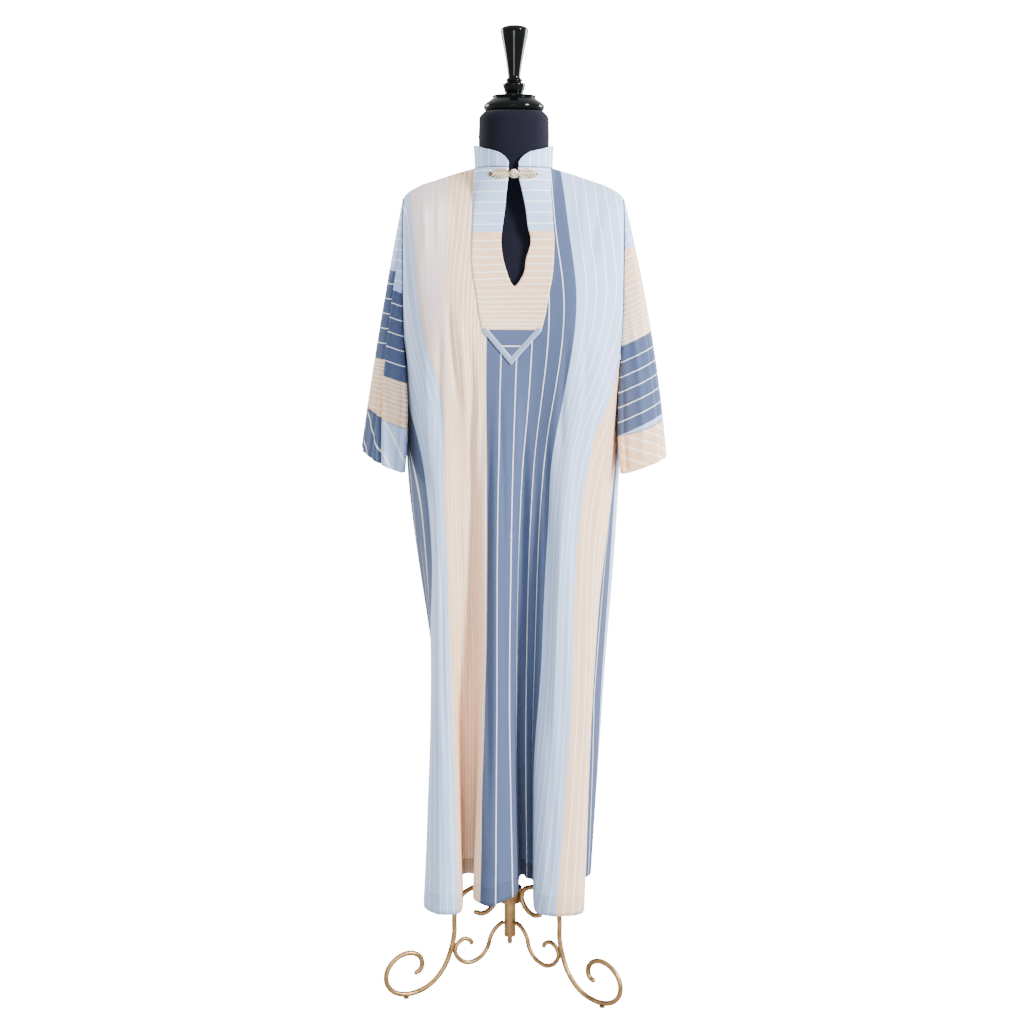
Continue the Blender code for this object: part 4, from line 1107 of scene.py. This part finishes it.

# %% [markdown]
# ## The frog closure
# A cord knot and loop close the collar. Each side is a leaf of plaited cord, sewn flat. The plait is made
# from chevrons: short arms of round cord that leave the middle line in pairs and lean towards the tip, long
# in the middle of the leaf and short at both ends. Flat dark brown cords under them are painted shadow that
# shows in the gaps. The button is a ball of wound cord with a loop round it.

# %% Cord material
cord_material, wire, shader = new_material("frog_cord", roughness=0.6, sheen_weight=0.1)
coords = wire.node("ShaderNodeTexCoord", output=3)
twist = wire.node("ShaderNodeTexWave", {"wave_type": "BANDS", "bands_direction": "DIAGONAL"},
                  {"Vector": coords, "Scale": 420.0, "Distortion": 1.0}, output=1)
connect(shader, "Base Color", twist.mix(colour(170, 146, 112), colour(246, 236, 212)))
connect(shader, "Normal", bump(wire, twist, 0.5, 0.0003))

# Painted shadow: a dark brown material for the flat cords that darken the gaps of the plait
gap_shadow_material, wire, shader = new_material("frog_painted_gap_shadow", roughness=0.8)
coords = wire.node("ShaderNodeTexCoord", output=3)
strands = wire.node("ShaderNodeTexNoise", None, {"Vector": coords, "Scale": 900.0, "Detail": 2.0})
connect(shader, "Base Color", strands.mix(colour(84, 66, 50), colour(128, 106, 82)))

# %% Frog
FROG_Z = 1.4230
FROG_WINGS = {"left": (-0.0072, -0.0410), "right": (0.0080, 0.0395)}
FROG_CORD = 0.0013
FROG_LIFT = 0.0030
CHEVRON_STEP = 0.0044
CHEVRON_REACH = 0.0078
CHEVRON_HUMP, CHEVRON_DIP = 0.0016, 0.0010
TIP_REST = 0.004
APEX_OVERLAP = 0.0011
# Rows, inset and lift of the flat cords that paint the shadow under the plait
SHADOW_CORD_ROWS = 7
SHADOW_CORD_INSET = 0.0008
SHADOW_CORD_LIFT = 0.0016
# Share of the way from the button to the leaf's tip, half height there
LEAF = ((0.0, 0.0042), (0.15, 0.0066), (0.38, 0.0084), (0.60, 0.0076), (0.82, 0.0050), (1.0, 0.0022))
BUTTON_CORD = 0.0014
BUTTON_RADIUS = 0.0050
BUTTON_X, BUTTON_LIFT = 0.0005, 0.0052
BUTTON_TURNS = ((0.0, 0.0), (1.05, 0.5), (2.1, 1.0), (0.6, 2.0), (1.6, 2.7))
LOOP_WIDTH, LOOP_HEIGHT = 0.0078, 0.0052
LOOP_BACK, LOOP_DROP = 0.0030, 0.0022


def cord_curve(data, points, radius_of=None):
    """Adds one cord through the points."""
    line = data.splines.new("POLY")
    line.points.add(len(points) - 1)
    for k, (target, p) in enumerate(zip(line.points, points)):
        target.co = (*p, 1.0)
        if radius_of is not None:
            target.radius = radius_of[k]


def tube_data(name, radius, resolution=4):
    data = bpy.data.curves.new(name, "CURVE")
    data.dimensions = "3D"
    data.bevel_depth = radius
    data.bevel_resolution = resolution
    data.use_fill_caps = True
    return data


def leaf_half(reach, length):
    return smooth_value(*zip(*LEAF), float(reach) / length)


arm = np.linspace(0.0, 1.0, 12)
for side, (start, end) in FROG_WINGS.items():
    way = math.copysign(1.0, end - start)
    length = abs(end - start)
    plait = tube_data(f"frog_plait_{side}", FROG_CORD)
    for k in range(int((length - TIP_REST) / CHEVRON_STEP)):
        for up in (1.0, -1.0):
            apex = (k + 0.25 * up) * CHEVRON_STEP
            reach = np.minimum(apex + CHEVRON_REACH * arm, length)
            rise = leaf_half(reach[-1], length) * np.sin(arm * math.pi / 2) - APEX_OVERLAP * (1 - arm)
            hump = CHEVRON_HUMP * np.sin(math.pi * np.minimum(arm * 1.15, 1.0)) - CHEVRON_DIP * arm**3
            cord_curve(plait, on_front(start + way * reach, FROG_Z + up * rise, FROG_LIFT + hump))
    place_piece(f"frog_plait_{side}", plait, cord_material, [f"frog_{side}"])

    # Painted shadow: rows of flat dark cords under the chevrons show dark in the gaps
    under = tube_data(f"frog_gap_shadow_{side}", FROG_CORD)
    reach = np.linspace(0.001, length - 0.001, 30)
    half = np.array([leaf_half(r, length) for r in reach]) - SHADOW_CORD_INSET
    for row in np.linspace(-1.0, 1.0, SHADOW_CORD_ROWS):
        cord_curve(under, on_front(start + way * reach, FROG_Z + row * half, np.full(30, SHADOW_CORD_LIFT)))
    place_piece(f"frog_gap_shadow_{side}", under, gap_shadow_material, [])

knot = tube_data("frog_button", BUTTON_CORD)
knot_centre = on_front(np.array(BUTTON_X), np.array(FROG_Z), np.array(BUTTON_LIFT))
for tilt, spin in BUTTON_TURNS:
    turn = Matrix.Rotation(spin, 3, "Y") @ Matrix.Rotation(tilt, 3, "X")
    ring = []
    for angle in np.linspace(0.0, 2 * math.pi, 33):
        local = Vector((math.cos(angle), math.sin(angle) * 0.9, 0.15 * math.sin(3 * angle)))
        ring.append(knot_centre + np.array(turn @ local * BUTTON_RADIUS))
    cord_curve(knot, ring)
loop = []
for angle in np.linspace(0.0, 2 * math.pi, 49):
    away = (LOOP_WIDTH * math.cos(angle), LOOP_BACK, LOOP_HEIGHT * math.sin(angle) - LOOP_DROP)
    loop.append(knot_centre + np.array(away))
cord_curve(knot, loop)
place_piece("frog_button", knot, cord_material, ["frog_knot"])
print("frog in", len(knot.splines), "rings and two plaits")

# %% [markdown]
# ## The dress form
# A smooth padded body in dark jersey, seen at the neck and through the keyhole. The knit is too fine to
# model, so a wave gives its ribs, noise its fuzz and a little sheen its bloom.

# %% Jersey
jersey, wire, shader = new_material("form_jersey_knit", roughness=0.9, sheen_weight=0.04, sheen_roughness=0.4)
shader.inputs["Specular IOR Level"].default_value = 0.08
coords = wire.node("ShaderNodeTexCoord", output=3)
ribs = {"Vector": coords, "Scale": 260.0, "Distortion": 2.0, "Detail": 2.0, "Detail Scale": 3.0}
knit = wire.node("ShaderNodeTexWave", {"wave_type": "BANDS", "bands_direction": "Z"}, ribs, output=1)
fuzz = wire.node("ShaderNodeTexNoise", None, {"Vector": coords, "Scale": 900.0, "Detail": 3.0})
connect(shader, "Base Color", (knit * 0.5 + fuzz * 0.5).clamp().mix(colour(11, 11, 19), colour(24, 24, 38)))
connect(shader, "Normal", bump(wire, knit + fuzz, 0.4, 0.0004))

# %% Form body
TORSO_SECTIONS = (
    (0.740, 0.120, 0.062, 0.070), (0.750, 0.132, 0.070, 0.080), (0.820, 0.142, 0.076, 0.088),
    (0.930, 0.130, 0.080, 0.082), (1.030, 0.112, 0.076, 0.074), (1.120, 0.126, 0.086, 0.080),
    (1.200, 0.146, 0.102, 0.092), (1.255, 0.154, 0.106, 0.100), (1.320, 0.160, 0.082, 0.100),
    (1.360, 0.158, 0.070, 0.088), (1.385, 0.142, 0.060, 0.070), (1.402, 0.112, 0.054, 0.058),
    (1.414, 0.080, 0.054, 0.056), (1.428, 0.0600, 0.0565, 0.0570), (1.470, 0.0595, 0.0590, 0.0590),
    (1.505, 0.0590, 0.0585, 0.0585), (1.524, 0.0560, 0.0555, 0.0555), (1.530, 0.0500, 0.0495, 0.0495),
)
TORSO_SIDES = 96
TORSO_SQUARENESS = 2.3
TORSO_HEIGHTS = [*np.linspace(0.740, 1.400, 80), *np.linspace(1.403, 1.530, 40)]
heights, widths, fronts, backs = zip(*TORSO_SECTIONS)
torso_mesh = bmesh.new()
rings = []
for height in TORSO_HEIGHTS:
    width, deep_front, deep_back = (smooth_value(heights, v, height) for v in (widths, fronts, backs))
    ring = []
    for k in range(TORSO_SIDES):
        angle = 2 * math.pi * k / TORSO_SIDES
        c, s = math.cos(angle), math.sin(angle)
        power = 2.0 / TORSO_SQUARENESS
        x = width * math.copysign(abs(c) ** power, c)
        y = (deep_back if s > 0 else deep_front) * math.copysign(abs(s) ** power, s)
        ring.append(torso_mesh.verts.new((x, y, height)))
    rings.append(ring)
for lower, upper in zip(rings, rings[1:]):
    for k in range(TORSO_SIDES):
        n = (k + 1) % TORSO_SIDES
        torso_mesh.faces.new((lower[k], lower[n], upper[n], upper[k]))
torso_mesh.faces.new(list(reversed(rings[0])))
torso_mesh.faces.new(rings[-1])
torso = finish_piece("form_body", torso_mesh, jersey, ["form_torso"])
print("form body", len(torso.data.polygons), "faces")

# %% [markdown]
# ## Neck cap and finial
# Both are turned wood under black gloss lacquer. A lathe makes them, and so does the Screw modifier: a
# profile turned once round the axis. The lacquer is nearly black, glossy and faintly uneven.

# %% Lacquer
lacquer, wire, shader = new_material("black_lacquer_gloss", roughness=0.12)
shader.inputs["IOR"].default_value = 1.22
coords = wire.node("ShaderNodeTexCoord", output=3)
uneven = wire.node("ShaderNodeTexNoise", None, {"Vector": coords, "Scale": 45.0, "Detail": 2.0})
connect(shader, "Base Color", uneven.mix(colour(3, 3, 5), colour(8, 11, 12)))
connect(shader, "Roughness", 0.06 + uneven * 0.08)
connect(shader, "Normal", bump(wire, uneven, 0.08, 0.001))

# %% Turned pieces
TURNED_SIDES = 96
# Radius and height
CAP_PROFILE = (
    (0.0, 1.5575), (0.0355, 1.5575), (0.0368, 1.5555), (0.0352, 1.5532), (0.0390, 1.5502), (0.0465, 1.5450),
    (0.0510, 1.5405), (0.0515, 1.5370), (0.0490, 1.5320), (0.0440, 1.5304), (0.0, 1.5304),
)
FINIAL_PROFILE = (
    (0.0, 1.6730), (0.0110, 1.6722), (0.0190, 1.6700), (0.0235, 1.6660), (0.0232, 1.6600), (0.0180, 1.6350),
    (0.0130, 1.6080), (0.0100, 1.5860), (0.0135, 1.5840), (0.0140, 1.5815), (0.0120, 1.5790),
    (0.0190, 1.5765), (0.0193, 1.5745), (0.0150, 1.5600), (0.0150, 1.5578), (0.0, 1.5578),
)


def rounded(profile, share=0.14):
    """The profile with its corners cut off a little, three times over."""
    for _ in range(3):
        cut = [profile[0]]
        for a, b in zip(profile, profile[1:]):
            a, b = np.array(a), np.array(b)
            cut += [a + (b - a) * share, b + (a - b) * share]
        profile = [*cut, profile[-1]]
    return profile


def turned_piece(name, profile, replaced):
    mesh = bmesh.new()
    points = [mesh.verts.new((radius, 0.0, height)) for radius, height in rounded(profile)]
    for a, b in zip(points, points[1:]):
        mesh.edges.new((a, b))
    piece = finish_piece(name, mesh, lacquer, replaced)
    screw = piece.modifiers.new("Turn", "SCREW")
    screw.steps = TURNED_SIDES
    screw.render_steps = TURNED_SIDES
    screw.use_merge_vertices = True
    screw.use_smooth_shade = True
    screw.use_normal_calculate = True


turned_piece("neck_cap_gloss", CAP_PROFILE, ["neck_cap"])
turned_piece("finial_gloss", FINIAL_PROFILE, ["finial"])
print("finial top", FINIAL_PROFILE[0][1], "m")

# %% [markdown]
# ## The stand
# Bent steel rod under antique gold paint: three legs that curl at the floor, three small scrolled braces,
# a short pole and a collar where all meet. A curve with a round bevel is the natural way to make rod. The
# paint is metallic and brushed on unevenly, so cloudy noise moves it between a dark and a bright gold.

# %% Gold paint
gold, wire, shader = new_material("gold_paint", metallic=1.0)
coords = wire.node("ShaderNodeTexCoord", output=3)
cloudy = wire.node("ShaderNodeTexNoise", None, {"Vector": coords, "Scale": 60.0, "Detail": 4.0})
grain = wire.node("ShaderNodeTexNoise", None, {"Vector": coords, "Scale": 900.0, "Detail": 2.0})
brightness = (cloudy * 0.7 + grain * 0.3).past(0.5, 0.5)
connect(shader, "Base Color", brightness.mix(colour(98, 70, 42), colour(206, 164, 110)))
connect(shader, "Roughness", 0.30 + cloudy * 0.25)
connect(shader, "Normal", bump(wire, grain + cloudy, 0.25, 0.0006))

# %% Rods
LEG_RADIUS = 0.0045
BRACE_RADIUS = 0.0040
LEG_POINTS, BRACE_POINTS = 220, 120
ROD_SMOOTHNESS = 6
LEG_HEADINGS = {"left": -66.0, "right": 54.0, "back": 180.0}
# Distance from the axis, height
LEG_ROUTE = (
    (0.070, 0.1395), (0.052, 0.134), (0.034, 0.144), (0.0255, 0.162), (0.031, 0.177), (0.049, 0.185),
    (0.070, 0.1845), (0.089, 0.176), (0.102, 0.160), (0.107, 0.138), (0.1075, 0.104), (0.1150, 0.072),
    (0.1285, 0.0430), (0.1525, 0.0190), (0.1765, 0.0092), (0.198, 0.0075), (0.220, 0.0145), (0.2335, 0.031),
    (0.234, 0.052), (0.2225, 0.070), (0.205, 0.080), (0.187, 0.081), (0.173, 0.073), (0.168, 0.060),
    (0.172, 0.048), (0.183, 0.043),
)
BRACE_ROUTE = (
    (0.0116, 0.1125), (0.019, 0.110), (0.030, 0.101), (0.038, 0.0875), (0.043, 0.071), (0.057, 0.0545),
    (0.079, 0.0475), (0.097, 0.056), (0.1058, 0.072), (0.100, 0.086), (0.088, 0.0925), (0.077, 0.088),
    (0.073, 0.080),
)


def rod(name, route, count, radius, heading, replaced):
    """A rod bent along a route, turned to its heading, with rounded ends."""
    path = evenly(spline(route, 10, plan=2), count)
    turn = math.radians(heading)
    points = [(reach * math.sin(turn), -reach * math.cos(turn), height) for reach, height in path]
    ends = np.minimum(np.arange(count), np.arange(count)[::-1])
    rounding = np.sqrt(np.clip(1.0 - (1.0 - np.clip(ends / 2.0, 0, 1)) ** 2 * 0.75, 0.0, 1.0))
    data = tube_data(name, radius, ROD_SMOOTHNESS)
    cord_curve(data, points, rounding)
    place_piece(name, data, gold, replaced)


for side, heading in LEG_HEADINGS.items():
    rod(f"leg_rod_{side}", LEG_ROUTE, LEG_POINTS, LEG_RADIUS, heading, [f"leg_{side}"])
    rod(f"brace_rod_{side}", BRACE_ROUTE, BRACE_POINTS, BRACE_RADIUS, heading, [f"brace_{side}"])
for name in ("pole", "hub", "glide_left", "glide_right", "glide_back"):
    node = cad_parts[name]
    node.data.materials.clear()
    node.data.materials.append(gold)
print(2 * len(LEG_HEADINGS), "rods")

# %% [markdown]
# ## Room and light
# The photograph is a bright studio shot on white. The pale floor and the backdrop glow for the camera only,
# so they stay white and don't wash out the cloth. A white world gives the soft even light, one lamp from
# the front right shapes the folds, one beside the camera fills the valleys, and two light the edges.

# %% Floor and backdrop
ROOM_HALF = 30.0
BACKDROP_Y = 5.0
BACKDROP_HALF, BACKDROP_LOW, BACKDROP_HIGH = 9.0, -0.5, 9.0
ROOM_GLOW = 16.0


def white_surface(name, corners):
    """A white sheet of the room that glows for the camera and lights nothing."""
    mesh = bmesh.new()
    mesh.faces.new([mesh.verts.new(corner) for corner in corners])
    data = bpy.data.meshes.new(name)
    mesh.to_mesh(data)
    mesh.free()
    material, wire, shader = new_material(f"{name}_white", roughness=1.0, emission_strength=ROOM_GLOW)
    shader.inputs["Base Color"].default_value = colour(250, 250, 252)
    shader.inputs["Emission Color"].default_value = (1.0, 1.0, 1.0, 1.0)
    data.materials.append(material)
    surface = bpy.data.objects.new(name, data)
    scene.collection.objects.link(surface)
    surface.visible_diffuse = False
    surface.visible_glossy = False


white_surface("floor", [
    (-ROOM_HALF, -ROOM_HALF, 0.0), (ROOM_HALF, -ROOM_HALF, 0.0),
    (ROOM_HALF, ROOM_HALF, 0.0), (-ROOM_HALF, ROOM_HALF, 0.0),
])
white_surface("backdrop", [
    (-BACKDROP_HALF, BACKDROP_Y, BACKDROP_LOW), (BACKDROP_HALF, BACKDROP_Y, BACKDROP_LOW),
    (BACKDROP_HALF, BACKDROP_Y, BACKDROP_HIGH), (-BACKDROP_HALF, BACKDROP_Y, BACKDROP_HIGH),
])
print("floor and backdrop glow at", ROOM_GLOW)

# %% Lights
SKY_STRENGTH = 1.1

world = bpy.data.worlds.new("studio")
scene.world = world
world.use_nodes = True
sky = world.node_tree.nodes["Background"].inputs
sky["Color"].default_value = (1.0, 1.0, 1.0, 1.0)
sky["Strength"].default_value = SKY_STRENGTH

# Name, place, what it points at, size, watts
LAMPS = (
    ("key", (2.7, -2.2, 2.4), (0.0, 0.0, 0.9), 0.9, 390.0),
    ("front", (-0.2, -3.9, 0.9), (0.0, 0.0, 0.6), 1.2, 66.0),
    ("rim_right", (2.2, 1.2, 1.6), (0.0, 0.0, 1.0), 1.2, 110.0),
    ("rim_left", (-2.2, 1.4, 1.8), (0.0, 0.0, 1.0), 1.2, 90.0),
)
for name, place, target, size, watts in LAMPS:
    data = bpy.data.lights.new(name, "AREA")
    data.shape = "DISK"
    data.size = size
    data.energy = watts
    lamp = bpy.data.objects.new(name, data)
    scene.collection.objects.link(lamp)
    lamp.location = place
    lamp.rotation_euler = (Vector(target) - Vector(place)).to_track_quat("-Z", "Y").to_euler()
print(len(LAMPS), "lamps")
